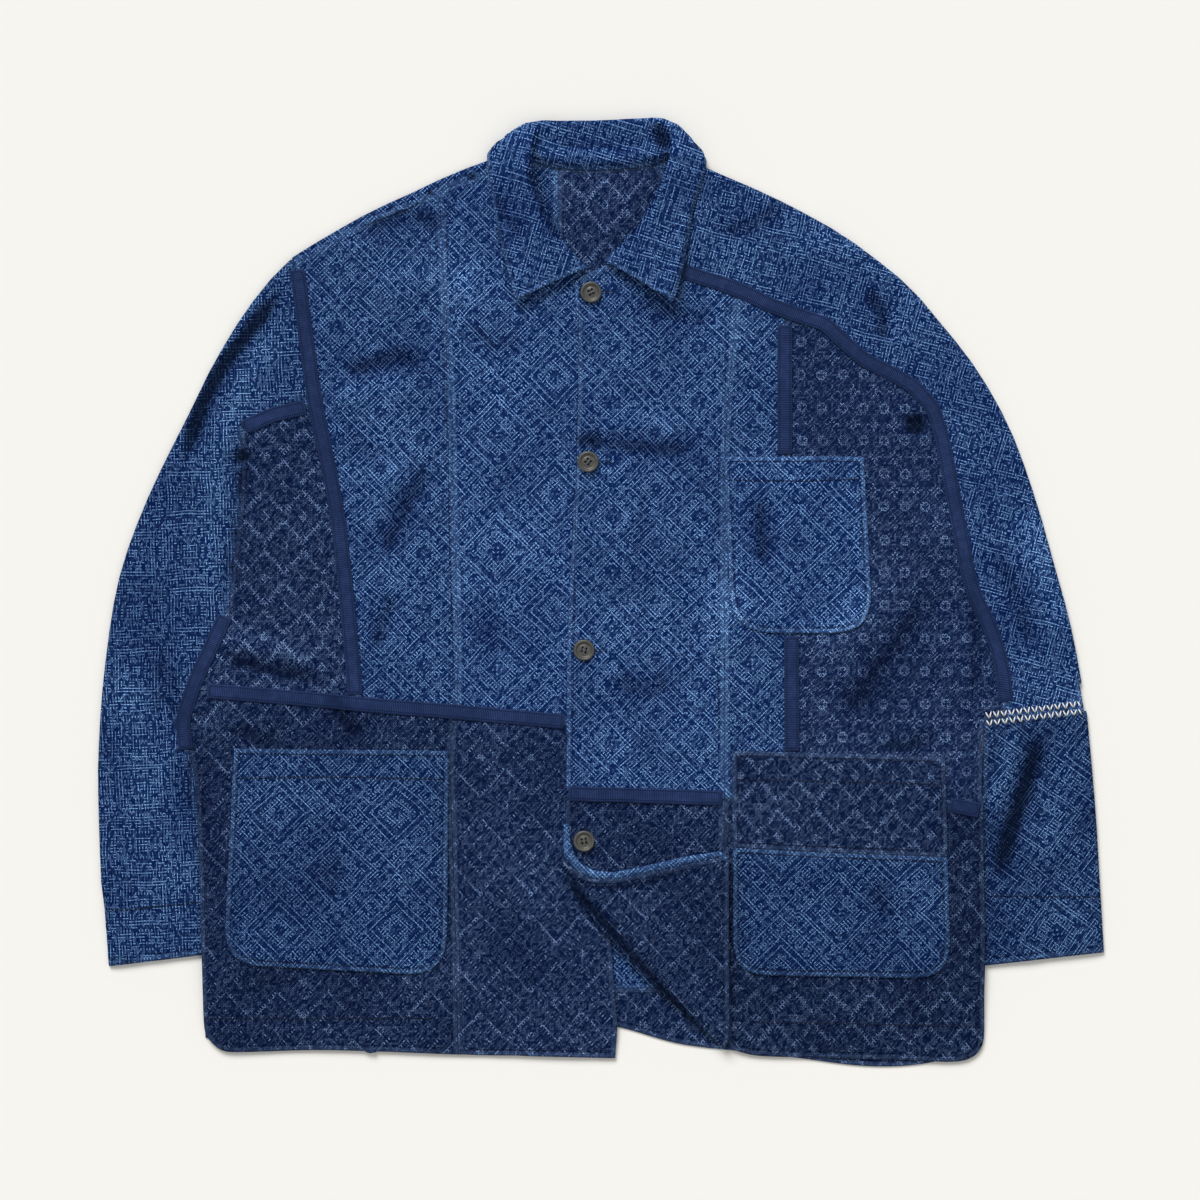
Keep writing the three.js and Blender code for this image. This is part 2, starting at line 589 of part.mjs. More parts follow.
// An outline through corners [x, y, radius], rounded where the radius is not 0.
function roundedOutline(corners) {
  return corners.flatMap(([x, y, radius], i) => {
    const at = point([x, y]);
    if (!radius) return [at];
    const [before, after] = [corners.at(i - 1), corners[(i + 1) % corners.length]].map(
      (next) => at.clone().add(point(next).sub(at).setLength(radius)),
    );
    return new THREE.QuadraticBezierCurve(before, at, after).getPoints(5);
  });
}

function buildPockets() {
  const pocket = (name, corners, surface, color) => piece(name,
    panel(roundedOutline(corners), raised(surface, STEP)), color);
  pocket('right_pocket', [[-311, -132, 0], [-320, -315, 32], [-131, -325, 32], [-129, -134, 0]],
    frontLayer, COLOUR.light);
  pocket('chest_pocket', [[104, 116, 0], [111, -34, 34], [231, -34, 34], [223, 116, 0]],
    leftFrontLayer, COLOUR.light);
  pocket('left_pocket_upper', [[111, -134, 0], [112, -216, 0], [180, -220, 0], [293.6, -224, 0],
    [292, -139, 0]], leftFrontLayer, COLOUR.dark);
  pocket('left_pocket_lower', [[112, -216, 0], [112, -324, 28], [297, -327, 32], [293.6, -224, 0],
    [180, -220, 0]], leftFrontLayer, COLOUR.light);
}

// ---------------------------------------------------------------- collar
// Stations round the neck, from the right front to the left front. Each one gives the foot at the
// neck seam, the roll line, the middle of the fall and the edge of the fall.
const COLLAR_STATIONS = [
  [[-12.5, 271.5, 5.4], [-11.5, 275, 10.5], [-42, 263, 13.5], [-71, 247.5, 12.5]],
  [[-31.5, 291, 6.4], [-29.5, 293, 17], [-54, 284, 16], [-77, 273, 11]],
  [[-49.3, 317, 7.6], [-46.5, 320.5, 21], [-66, 312, 17.5], [-84.5, 303, 10]],
  [[-60.2, 343.5, 7.6], [-58.5, 346, 23], [-75, 342, 18], [-90, 336, 10.4]],
  [[-62.5, 360, 7], [-60.5, 366, 22.5], [-78.5, 363, 17.5], [-93.5, 359, 10.6]],
  [[-61, 367.2, 6.4], [-59.5, 381, 20], [-80, 380.5, 13], [-93.5, 375, 5.4]],
  [[-56, 367.6, 5.8], [-57, 392, 15], [-70, 394, 8], [-79, 384, 2.4]],
  [[-48, 364.6, 5.4], [-49, 398.3, 10.5], [-56, 397, 3.8], [-63, 379, 1.25]],
  [[-36, 362.4, 5], [-36, 399, 9], [-37, 395, 2.2], [-38, 352, 1.25]],
  [[0, 360.9, 4.9], [-2, 399.3, 9], [-2, 395.5, 2.2], [-2, 349, 1.25]],
  [[30, 362.9, 5], [34, 401, 9], [34, 397.5, 2.2], [34, 352, 1.25]],
  [[45, 365.6, 5.4], [50, 400.5, 10.5], [56, 398, 4], [58, 381, 1.25]],
  [[55, 369.8, 5.8], [60, 393, 15], [71, 390, 8], [75, 381, 2.4]],
  [[59.5, 370.2, 6.4], [61, 381, 20], [77, 377, 13], [87, 370, 5.4]],
  [[59.2, 362, 7], [59.2, 368, 22.5], [75, 362, 17.5], [85.5, 354, 10.8]],
  [[53.8, 346.6, 7.8], [52, 347, 23], [65.5, 339, 18], [77.5, 330, 10.6]],
  [[42.2, 323, 8.2], [40.5, 324, 20.5], [57, 313, 17.5], [72, 300, 10.8]],
  [[29, 303.4, 8.4], [27.5, 304.5, 17.5], [48, 291, 16.5], [67, 273, 12.5]],
  [[4.6, 280.6, 8.2], [4, 281, 13], [32, 265, 15.5], [60, 246.5, 14]],
];
const COLLAR_STEPS = 30;
const COLLAR_SECTION = [0, 0.25, 0.42, 0.47, 0.5, 0.54, 0.6, 0.75, 0.88, 1];

function buildCollar() {
  const guides = [0, 1, 2, 3].map((k) => new THREE.CatmullRomCurve3(
    COLLAR_STATIONS.map((station) => new THREE.Vector3(...station[k])),
  ));
  const rows = [];
  for (let i = 0; i <= COLLAR_STEPS; i += 1) {
    const [foot, roll, middle, edge] = guides.map((guide) => guide.getPoint(i / COLLAR_STEPS));
    const stand = foot.clone().lerp(roll, 0.5);
    const section = new THREE.CatmullRomCurve3([foot, stand, roll, middle, edge], false, 'centripetal');
    rows.push(COLLAR_SECTION.map((t) => {
      const p = section.getPoint(t);
      p.z = Math.max(p.z, COLLAR_CLOTH / 2);
      return p;
    }));
  }
  const at = (i, k) => rows[THREE.MathUtils.clamp(i, 0, COLLAR_STEPS)][
    THREE.MathUtils.clamp(k, 0, COLLAR_SECTION.length - 1)];
  const sheet = new Sheet();
  rows.forEach((row, i) => row.forEach((p, k) => {
    const along = at(i + 1, k).clone().sub(at(i - 1, k));
    const across = at(i, k + 1).clone().sub(at(i, k - 1));
    sheet.add(`${i} ${k}`, p, along.cross(across).normalize());
  }));
  const key = (i, k) => sheet.found.get(`${i} ${k}`);
  for (let i = 0; i < COLLAR_STEPS; i += 1) {
    for (let k = 0; k + 1 < COLLAR_SECTION.length; k += 1) {
      sheet.face(key(i, k), key(i + 1, k), key(i + 1, k + 1));
      sheet.face(key(i, k), key(i + 1, k + 1), key(i, k + 1));
    }
  }
  piece('collar', sheet.solid(COLLAR_CLOTH), COLOUR.light);
}

// ---------------------------------------------------------------- buttons
const BUTTON_CENTRES = [[-8.5, 255], [-11, 111.3], [-14.4, -48.4], [-14.4, -210.4]];
const BUTTON_HOLE_RADIUS = 0.95;
const BUTTON_HOLE_OFFSET = 1.75;

const wasm = await Module();
wasm.setup();

function asSolid(geometry) {
  geometry.deleteAttribute('normal');
  geometry.deleteAttribute('uv');
  const merged = mergeVertices(geometry, 1e-4);
  return new wasm.Manifold(new wasm.Mesh({
    numProp: 3,
    vertProperties: new Float32Array(merged.attributes.position.array),
    triVerts: new Uint32Array(merged.index.array),
  }));
}

function buttonGeometry() {
  const rim = BUTTON_RADIUS;
  const profile = [[0, 0], [rim - 1.2, 0], [rim, 1.1], [rim, 2.2], [rim - 0.7, BUTTON_HEIGHT],
    [rim - 1.6, BUTTON_HEIGHT], [rim - 2.5, 2.3], [0, 2.1]].map(point);
  const lathe = new THREE.LatheGeometry(profile, 20);
  lathe.rotateX(Math.PI / 2);
  let button = asSolid(lathe);
  [[-1, -1], [1, -1], [1, 1], [-1, 1]].forEach(([x, y]) => {
    const hole = new THREE.CylinderGeometry(BUTTON_HOLE_RADIUS, BUTTON_HOLE_RADIUS, 3 * BUTTON_HEIGHT, 6);
    hole.rotateX(Math.PI / 2);
    hole.translate(x * BUTTON_HOLE_OFFSET, y * BUTTON_HOLE_OFFSET, 0);
    button = button.subtract(asSolid(hole));
  });
  const cut = button.getMesh();
  const geometry = new THREE.BufferGeometry();
  geometry.setAttribute('position', new THREE.Float32BufferAttribute(cut.vertProperties, 3));
  geometry.setIndex([...cut.triVerts]);
  return geometry;
}

function buildButtons() {
  BUTTON_CENTRES.forEach((centre, i) => {
    const at = point(centre);
    const rim = [0, 1, 2, 3].map((k) => at.clone().add(
      new THREE.Vector2(BUTTON_RADIUS, 0).rotateAround(new THREE.Vector2(), (k * Math.PI) / 2),
    ));
    const rest = Math.max(...rim.map(leftFrontLayer)) + CLOTH / 2 + GAP;
    piece(`button_${i + 1}`, buttonGeometry().translate(at.x, at.y, rest), COLOUR.horn, 0.4);
  });
}

buildBack();
buildRightFront();
buildLeftFront();
buildSleeves();
buildTapes();
buildPockets();
buildCollar();
buildButtons();

export default jacket;
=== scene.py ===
"""Builds a patched indigo jacket laid flat on a pale surface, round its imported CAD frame."""

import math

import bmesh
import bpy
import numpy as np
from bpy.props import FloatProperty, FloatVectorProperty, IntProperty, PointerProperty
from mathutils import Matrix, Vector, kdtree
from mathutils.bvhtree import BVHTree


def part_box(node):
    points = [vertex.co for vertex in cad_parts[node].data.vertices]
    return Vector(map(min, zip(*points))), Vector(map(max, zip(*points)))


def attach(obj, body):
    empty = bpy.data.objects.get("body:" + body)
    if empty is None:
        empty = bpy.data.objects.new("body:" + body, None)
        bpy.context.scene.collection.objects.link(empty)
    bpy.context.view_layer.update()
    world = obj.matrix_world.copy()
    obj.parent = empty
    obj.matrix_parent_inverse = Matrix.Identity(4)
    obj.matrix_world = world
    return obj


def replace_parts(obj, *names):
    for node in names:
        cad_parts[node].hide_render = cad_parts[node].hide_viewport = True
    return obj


bl_info = {
    "name": "Patched Boro Jacket",
    "version": (1, 0, 0),
    "blender": (4, 5, 0),
    "location": "3D Viewport > Sidebar > Jacket",
    "description": "Makes the cloth, tapes, buttons and sewing of a patched jacket laid flat",
    "category": "Add Mesh",
}

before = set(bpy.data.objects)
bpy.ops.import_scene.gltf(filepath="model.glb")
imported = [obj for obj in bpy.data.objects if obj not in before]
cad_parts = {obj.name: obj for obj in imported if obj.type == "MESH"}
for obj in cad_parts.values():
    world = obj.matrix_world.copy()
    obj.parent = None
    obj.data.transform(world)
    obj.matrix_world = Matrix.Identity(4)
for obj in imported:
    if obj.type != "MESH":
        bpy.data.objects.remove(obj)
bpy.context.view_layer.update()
MM = 0.001

# ---------------------------------------------------------------- sizes shared by the pieces
CLOTH_WALL = 1.1 * MM       # cloth thickness inside its rolled rim
COLLAR_WALL = 2.0 * MM
TAPE_WALL = 0.6 * MM
RIM_DROP = 0.45 * MM        # the rim of a cut edge rolls down by this much
RIM_WIDTH = 0.9 * MM
RIM_GROW = 0.3 * MM         # the rim reaches this far past the edge it was cut to
SKIN_TURN = math.radians(75)  # faces that meet at less than this belong to the same side of a cloth
CORNER_TURN = math.radians(60)  # a border that turns by more than this has a corner there
BORDER_SPACING = 1.0 * MM   # between the points that stand for a border
TAPE_STEP = 3.0 * MM        # spacing of the drape mesh of a tape
THREAD = 0.42 * MM          # half the width of a sewing stitch
HAND_THREAD = 0.68 * MM     # half the width of a hand stitch
STITCH_FILL = 0.78          # the share of a running stitch's step that its thread covers
STITCH_CLIMB = 1.2 * MM     # a running stitch isn't sewn over a step higher than this
SEAM_INSET = 4.2 * MM       # topstitching runs this far inside a sewn edge
LEAST_SHEET = 12 * MM       # no cloth is cut narrower than this
# A cloth that fills less of its rectangle than the first share is cut from one that it fills by
# the second.
LEAST_FILL, GIVEN_FILL = 0.3, 0.35
CLEAR_HEIGHT = 80 * MM      # higher than any of the cloths
VIEW_CENTRE = (-0.85 * MM, -5.95 * MM)

# ---------------------------------------------------------------- settings


def colour_setting(name, description, default):
    return FloatVectorProperty(name=name, description=description, subtype="COLOR", size=3,
                               default=default, min=0, max=1)


def length_setting(name, description, default, least, most):
    return FloatProperty(name=name, description=description, default=default, min=least,
                         max=most, unit="LENGTH", precision=5)


class JacketCloth(bpy.types.PropertyGroup):
    """Colours and thread counts of the jacket's cloths."""

    light_ground: colour_setting(
        "Light cloth ground", "Warp colour of the faded figured cloth", (0.0012, 0.0125, 0.074))
    light_float: colour_setting(
        "Light cloth floats", "Weft floats of the faded figured cloth", (0.25, 0.49, 0.96))
    dark_ground: colour_setting(
        "Dark cloth ground", "Warp colour of the deep indigo cloth", (0.001, 0.0075, 0.042))
    dark_float: colour_setting(
        "Dark cloth floats", "Weft floats of the deep indigo cloth", (0.23, 0.37, 0.70))
    pick: length_setting("Pick", "Width of one weft float", 1.84 * MM, 0.5 * MM, 5 * MM)
    mesh_step: length_setting(
        "Mesh step", "Spacing of the drape mesh on the outside of the jacket",
        3.6 * MM, 2 * MM, 20 * MM)
    hidden_step: length_setting(
        "Hidden mesh step", "Spacing of the drape mesh on the back", 7.2 * MM, 2 * MM, 30 * MM)


class JacketTrim(bpy.types.PropertyGroup):
    """Colours and sizes of the tapes, threads and buttons."""

    tape_colour: colour_setting("Tape", "Binding tape colour", (0.010, 0.021, 0.068))
    tape_rib: length_setting(
        "Tape rib", "Spacing of the cross ribs of the tape", 1.5 * MM, 0.5 * MM, 5 * MM)
    thread_colour: colour_setting("Sewing thread", "Navy sewing thread", (0.003, 0.007, 0.028))
    hand_thread: colour_setting(
        "Hand thread", "White thread of the hand stitches on the left sleeve", (0.93, 0.93, 0.90))
    button_thread: colour_setting(
        "Button thread", "Thread of the buttons and buttonholes", (0.006, 0.012, 0.03))
    horn_colour: colour_setting("Horn", "Button colour", (0.058, 0.057, 0.05))
    button_segments: IntProperty(
        name="Button segments", description="Steps round a button", default=56, min=16, max=128)


class JacketStage(bpy.types.PropertyGroup):
    """Floor, lights and camera."""

    floor_colour: colour_setting(
        "Floor", "Colour of the surface that the jacket lies on", (0.90, 0.89, 0.85))
    view_width: length_setting("View width", "Width of floor that the camera sees", 1.02, 0.3, 3)
    lens: FloatProperty(
        name="Lens", description="Focal length of the camera", default=120, min=35, max=300,
        unit="CAMERA")
    sky: FloatProperty(
        name="Sky", description="Strength of the soft light from all round", default=0.40, min=0,
        max=3)
    key: FloatProperty(
        name="Key light", description="Strength of the soft light from beyond the collar",
        default=2.8, min=0, max=20)


# ---------------------------------------------------------------- shader writing


class Value:
    """A shader socket that can be used in Python sums."""

    def __init__(self, board, socket):
        self.board = board
        self.socket = socket

    def sum(self, operation, *others):
        return self.board.node("ShaderNodeMath", {"operation": operation}, (self, *others))

    def __add__(self, other):
        return self.sum("ADD", other)

    def __sub__(self, other):
        return self.sum("SUBTRACT", other)

    def __rsub__(self, other):
        return self.board.node("ShaderNodeMath", {"operation": "SUBTRACT"}, (other, self))

    def __mul__(self, other):
        return self.sum("MULTIPLY", other)

    def __truediv__(self, other):
        return self.sum("DIVIDE", other)

    def __mod__(self, other):
        return self.sum("FLOORED_MODULO", other)

    def __lt__(self, other):
        return self.sum("LESS_THAN", other)

    def __abs__(self):
        return self.sum("ABSOLUTE")

    __radd__ = __add__
    __rmul__ = __mul__

    def floor(self):
        return self.sum("FLOOR")

    def below(self, limit, soft):
        """1 below the limit and 0 above it, fading over a width."""
        return self.board.node(
            "ShaderNodeMapRange", {"interpolation_type": "SMOOTHSTEP"},
            {"Value": self, "From Min": limit - soft / 2, "From Max": limit + soft / 2,
             "To Min": 1.0, "To Max": 0.0})


class Board:
    """The node tree of one new material."""

    def __init__(self, name):
        self.material = bpy.data.materials.new(name)
        self.material.use_nodes = True
        self.tree = self.material.node_tree
        self.tree.nodes.clear()

    def node(self, kind, settings=None, inputs=(), output=0):
        node = self.tree.nodes.new(kind)
        for key, value in (settings or {}).items():
            setattr(node, key, value)
        pairs = inputs.items() if isinstance(inputs, dict) else enumerate(inputs)
        for key, value in pairs:
            if isinstance(value, Value):
                self.tree.links.new(value.socket, node.inputs[key])
            else:
                node.inputs[key].default_value = value
        return Value(self, node.outputs[output]) if node.outputs else None

    def ramp(self, value, stops):
        """A stepped table: colours from (start, colour) pairs, looked up by a value from 0 to 1."""
        result = self.node("ShaderNodeValToRGB", {}, {"Fac": value})
        steps = result.socket.node.color_ramp
        steps.interpolation = "CONSTANT"
        while len(steps.elements) < len(stops):
            steps.elements.new(1.0)
        for element, (start, colour) in zip(steps.elements, stops):
            element.position = start
            element.color = (*colour, 1.0)
        return result

    def mix(self, factor, first, second, blend="MIX"):
        def colour(c):
            return c if isinstance(c, Value) else (*c, 1.0)

        return self.node(
            "ShaderNodeMix", {"data_type": "RGBA", "blend_type": blend},
            {0: factor, 6: colour(first), 7: colour(second)}, 2)

    def parts(self, vector, kind="ShaderNodeSeparateXYZ"):
        whole = self.node(kind, {}, (vector,))
        return [Value(self, socket) for socket in whole.socket.node.outputs]

    def attribute(self, name):
        return self.node("ShaderNodeAttribute", {"attribute_name": name}, (), "Fac")

    def noise(self, vector, scale, detail=2.0):
        return self.node(
            "ShaderNodeTexNoise", {}, {"Vector": vector, "Scale": scale, "Detail": detail})

    def finish(self, colour, roughness, height, depth, **uniform):
        """Ends the tree in one Principled shader with a bump, and gives the material."""
        bump = self.node(
            "ShaderNodeBump", {}, {"Height": height, "Distance": depth, "Strength": 1.0})
        inputs = {"Base Color": colour, "Roughness": roughness, "Normal": bump}
        inputs.update({key.replace("_", " "): value for key, value in uniform.items()})
        shader = self.node("ShaderNodeBsdfPrincipled", {}, inputs)
        self.node("ShaderNodeOutputMaterial", {}, {"Surface": shader})
        return self.material


# ---------------------------------------------------------------- figured cloths
# A figured cloth is charted ring by ring, from the middle of its first diamond to the middle of
# the next one: '#' a line of floats, 'o' floats in broken lines, '=' floats set across the ring,
# '.' bare ground, ':' ground with faint stray floats. The faded cloth's marks stand for two rings.
# After its chart come half the repeat across and along in cells, the number of stepped rings, the
# width of a cell in picks and its length for that width, how much of the twill ground shows, and
# the strength of the weakest float.
FIGURES = {
    "diamonds": ("=o.#==#.##oo:o#oo=o#.#.=#=.", (27, 27), 7, 1.0, 1.0, 0.13, 0.3),
    "chain": ("=.=##:#oo#:o=#o.o", (20, 13), 3, 1.0, 1.0, 0.13, 0.3),
    "frets": ("#=#.=.#oo#=.##oo=.#", (19, 19), 12, 1.0, 1.0, 0.13, 0.3),
    "lattice": ("o=#.:::::.=#=.:::::.#=o", (9, 13), 0, 0.98, 1.1, 0.1, 0.12),
    "zigzag": ("o=#.:::.=.:::::.#=.::::::=.:::.=#o", (12, 21), 0, 0.98, 1.1, 0.1, 0.12),
    "florets": ("..=o.:..:.o=..", (5, 8), 0, 0.95, 1.0, 0.1, 0.3),
}
FADED_FIGURES = ("diamonds", "chain", "frets")  # the others are woven in deep indigo
# What a mark stands for: how bright its floats are, set across the ring or not, broken or not.
MARKS = {"#": (1.0, 0.0, 0.0), "o": (0.85, 0.0, 1.0), "=": (0.9, 1.0, 0.0),
         ".": (0.06, 0.0, 0.0), ":": (0.3, 1.0, 1.0)}
MOST_STOPS = 32
# How far the weave wanders, in picks, and the size of its bends as a noise scale.
WANDER, WANDER_SCALE = 2.2, 30.0
# Half the width and half the length of a float, each with the fade at its edge, in cells.
FLOAT_WIDTH, FLOAT_LENGTH = (0.28, 0.24), (0.8, 0.3)
# What the colour is multiplied by at its deep and its faded end (dye patches, painted shade in
# troughs and painted light on ridges), and the painted shade colour in a hollow.
DEEP_AND_SHADED_TINT, FADED_AND_LIT_TINT = (0.5, 0.52, 0.62), (1.5, 1.46, 1.34)
HOLLOW_SHADE_COLOUR = (0.001, 0.004, 0.014)


def chart_stops(chart):
    """The stops of a ramp that looks up what a ring's mark stands for."""
    stops = [(i / len(chart), MARKS[mark]) for i, mark in enumerate(chart)
             if i == 0 or mark != chart[i - 1]]
    if len(stops) > MOST_STOPS:
        raise RuntimeError("a chart has more changes than a ramp has stops")
    return stops


def float_cells(board, centre, turn, pick, aspect):
    """The cloth's cells: their whole numbers, and the place inside one from its middle."""
    place = board.node("ShaderNodeTexCoord", output="Object")
    drift = board.node("ShaderNodeTexNoise", {}, {"Vector": place, "Scale": WANDER_SCALE,
                                                   "Detail": 1.0}, "Color")
    moved = board.node(
        "ShaderNodeVectorMath", {"operation": "MULTIPLY_ADD"},
        {0: drift, 1: (WANDER * pick, WANDER * pick, 0.0), 2: place})
    cells = board.node(
        "ShaderNodeMapping", {"vector_type": "TEXTURE"},
        {"Vector": moved, "Location": (centre[0] * MM, centre[1] * MM, 0.0),
         "Rotation": (0.0, 0.0, math.radians(turn)), "Scale": (pick, pick * aspect, 1.0)})
    x, y, _ = board.parts(cells)
    i, j = x.floor(), y.floor()
    return place, i, j, x - i - 0.5, y - j - 0.5


def fold(value, half):
    """How far a cell is from the nearest middle of a repeat, with its side."""
    return (value + half) % (2 * half) - half


def figured_cloth(name, figure, centre, turn=0.0, tone=1.0):
    """A jacquard cloth: charted floats over a fine twill ground, faded and rubbed at the edges, with
    painted shade in its creases and painted light on their ridges.

    centre is the middle of a diamond in millimetres, turn the slant of the weave in degrees, and
    tone what the colours are multiplied by. Like every finish it is a material with its slot.
    """
    cloth = bpy.context.scene.jacket_cloth
    chart, size, steps, cell, aspect, ground, least = FIGURES[figure]
    faded = figure in FADED_FIGURES
    colours, slot = (cloth.dark_ground, cloth.dark_float), "fabric_dark"
    if faded:
        colours, slot = (cloth.light_ground, cloth.light_float), "fabric_light"
    warp, floats = [tuple(tone * part for part in colour) for colour in colours]
    board = Board(name)
    place, i, j, u, v = float_cells(board, centre, turn, cell * cloth.pick, aspect)
    a, b = fold(i, size[0]), fold(j, size[1])
    side = (a * b + 0.5).sum("SIGN")
    a, b = abs(a), abs(b)
    ring, along = a + b, abs(a - b)
    level = (ring / 2).floor() if faded else ring
    if steps:
        level = level + ((along / 5).floor() % 2) * (level < steps)
    look = board.ramp((level + 0.5) / len(chart), chart_stops(chart))
    bright, across, broken = board.parts(look, "ShaderNodeSeparateColor")[:3]
    corner = board.node("ShaderNodeCombineXYZ", {}, (i, j, 0.0))
    chance = board.node("ShaderNodeTexWhiteNoise", {"noise_dimensions": "2D"}, {"Vector": corner})
    # some floats lie the other way, more of them in the broken lines
    flipped = (chance * 7.3 % 1) < (0.1 + 0.2 * broken)
    side = side * (1 - 2 * abs(across - flipped))
    stroke = abs(u * side + v).below(*FLOAT_WIDTH) * abs(u * side - v).below(*FLOAT_LENGTH)
    kept = 1 - broken * ((along % 6) < 1.5)
    if faded:
        kept = kept * (1 - ring % 2)
    luck = chance if faded else chance * chance
    lit = stroke * bright * kept * (least + (1 - least) * luck)
    fleck = chance * 3.7 % 1
    twill = abs(u - v).below(0.3, 0.4) * (ground * 3.4 * fleck * fleck * fleck)
    weft = lit.sum("MAXIMUM", twill)
    dye = board.noise(place, 14.0, 3.0)
    rub = board.noise(place, 90.0)
    edge = board.attribute("edge")
    # the rubbed border and the groove of its seam, in millimetres from the edge; the groove is
    # darkened as painted shade
    worn = edge.below(3.4, 2.4)
    seam = abs(edge - SEAM_INSET / MM).below(0.8, 0.8)
    strength = weft * (0.62 + 0.76 * dye) + 0.07 * worn * (0.4 + rub)
    colour = board.mix(strength.sum("MINIMUM", 1.0), warp, floats)
    # the crease heights paint shade into the troughs and light onto the ridges
    crease = board.attribute("fold")
    shade = (dye * 0.9 + crease * 0.26 + 0.05 - 0.1 * seam).sum("MAXIMUM", 0.0)
    tint = board.mix(shade.sum("MINIMUM", 1.0), DEEP_AND_SHADED_TINT, FADED_AND_LIT_TINT)
    dyed_and_shaded = board.mix(1.0, colour, tint, "MULTIPLY")
    # troughs deeper than 0.9 mm are painted towards a near-black shade colour
    hollow_shade = ((-0.9 - crease) * 0.42).sum("MAXIMUM", 0.0)
    dyed_and_shaded = board.mix(hollow_shade.sum("MINIMUM", 0.8), dyed_and_shaded, HOLLOW_SHADE_COLOUR)
    height = weft * 0.7 + 0.3 * rub - 0.9 * seam
    return board.finish(dyed_and_shaded, 0.88, height, 0.5 * MM, Specular_IOR_Level=0.04), slot


WORN_AND_LIT_TAPE = (0.036, 0.064, 0.19)  # colour of the tape's worn ribs, and of the painted light on its ridges


def tape_cloth(name):
    """Ribbed tape, its ribs running across it."""
    trim = bpy.context.scene.jacket_trim
    board = Board(name)
    place = board.node("ShaderNodeTexCoord", output="Object")
    along = board.attribute("along")
    rib = (along * (2 * math.pi / (trim.tape_rib / MM))).sum("SINE")
    patchy = board.noise(place, 160.0, 3.0)
    cloud = board.noise(place, 30.0)
    seam = abs(board.attribute("edge") - 1.7).below(0.55, 0.5)
    # the stitched groove is painted dark as shade, and the crease heights paint shade in troughs and
    # light on ridges
    strength = rib * 0.32 + 0.9 * patchy + 0.7 * cloud - 0.52 - 0.45 * seam
    strength = (strength + 0.2 * board.attribute("fold")).sum("MAXIMUM", 0.0)
    shade = board.mix(strength.sum("MINIMUM", 1.0), tuple(trim.tape_colour), WORN_AND_LIT_TAPE)
    height = rib * 0.5 + patchy - seam
    return board.finish(shade, 0.85, height, 0.3 * MM, Specular_IOR_Level=0.05), "tape"


def thread_finish(name, colour):
    """Spun thread: a fine fuzz of lighter and darker fibres."""
    board = Board(name)
    place = board.node("ShaderNodeTexCoord", output="Object")
    fuzz = board.noise(place, 900.0)
    shade = board.mix(fuzz, tuple(0.75 * c for c in colour), tuple(min(1, 1.25 * c) for c in colour))
    return board.finish(shade, 0.75, fuzz, 0.1 * MM, Specular_IOR_Level=0.25), "tape"


def horn_finish(name):
    """Dark horn: faint clouds of lighter horn under a satin polish."""
    colour = tuple(bpy.context.scene.jacket_trim.horn_colour)
    board = Board(name)
    place = board.node("ShaderNodeTexCoord", output="Object")
    grain = board.node("ShaderNodeTexNoise", {}, {"Vector": place, "Scale": 260.0, "Detail": 4.0,
                                                  "Distortion": 1.2})
    shade = board.mix(grain, tuple(0.45 * c for c in colour), tuple(1.7 * c for c in colour))
    material = board.finish(shade, 0.34 + 0.2 * grain, grain, 0.05 * MM, Coat_Weight=0.25,
                            Coat_Roughness=0.25)
    return material, "horn"


# ---------------------------------------------------------------- drape
CREASE_DEPTH = 1.15         # every crease's height is multiplied by this
CREASE_END = 0.25           # the share of a crease's length over which each end dies away
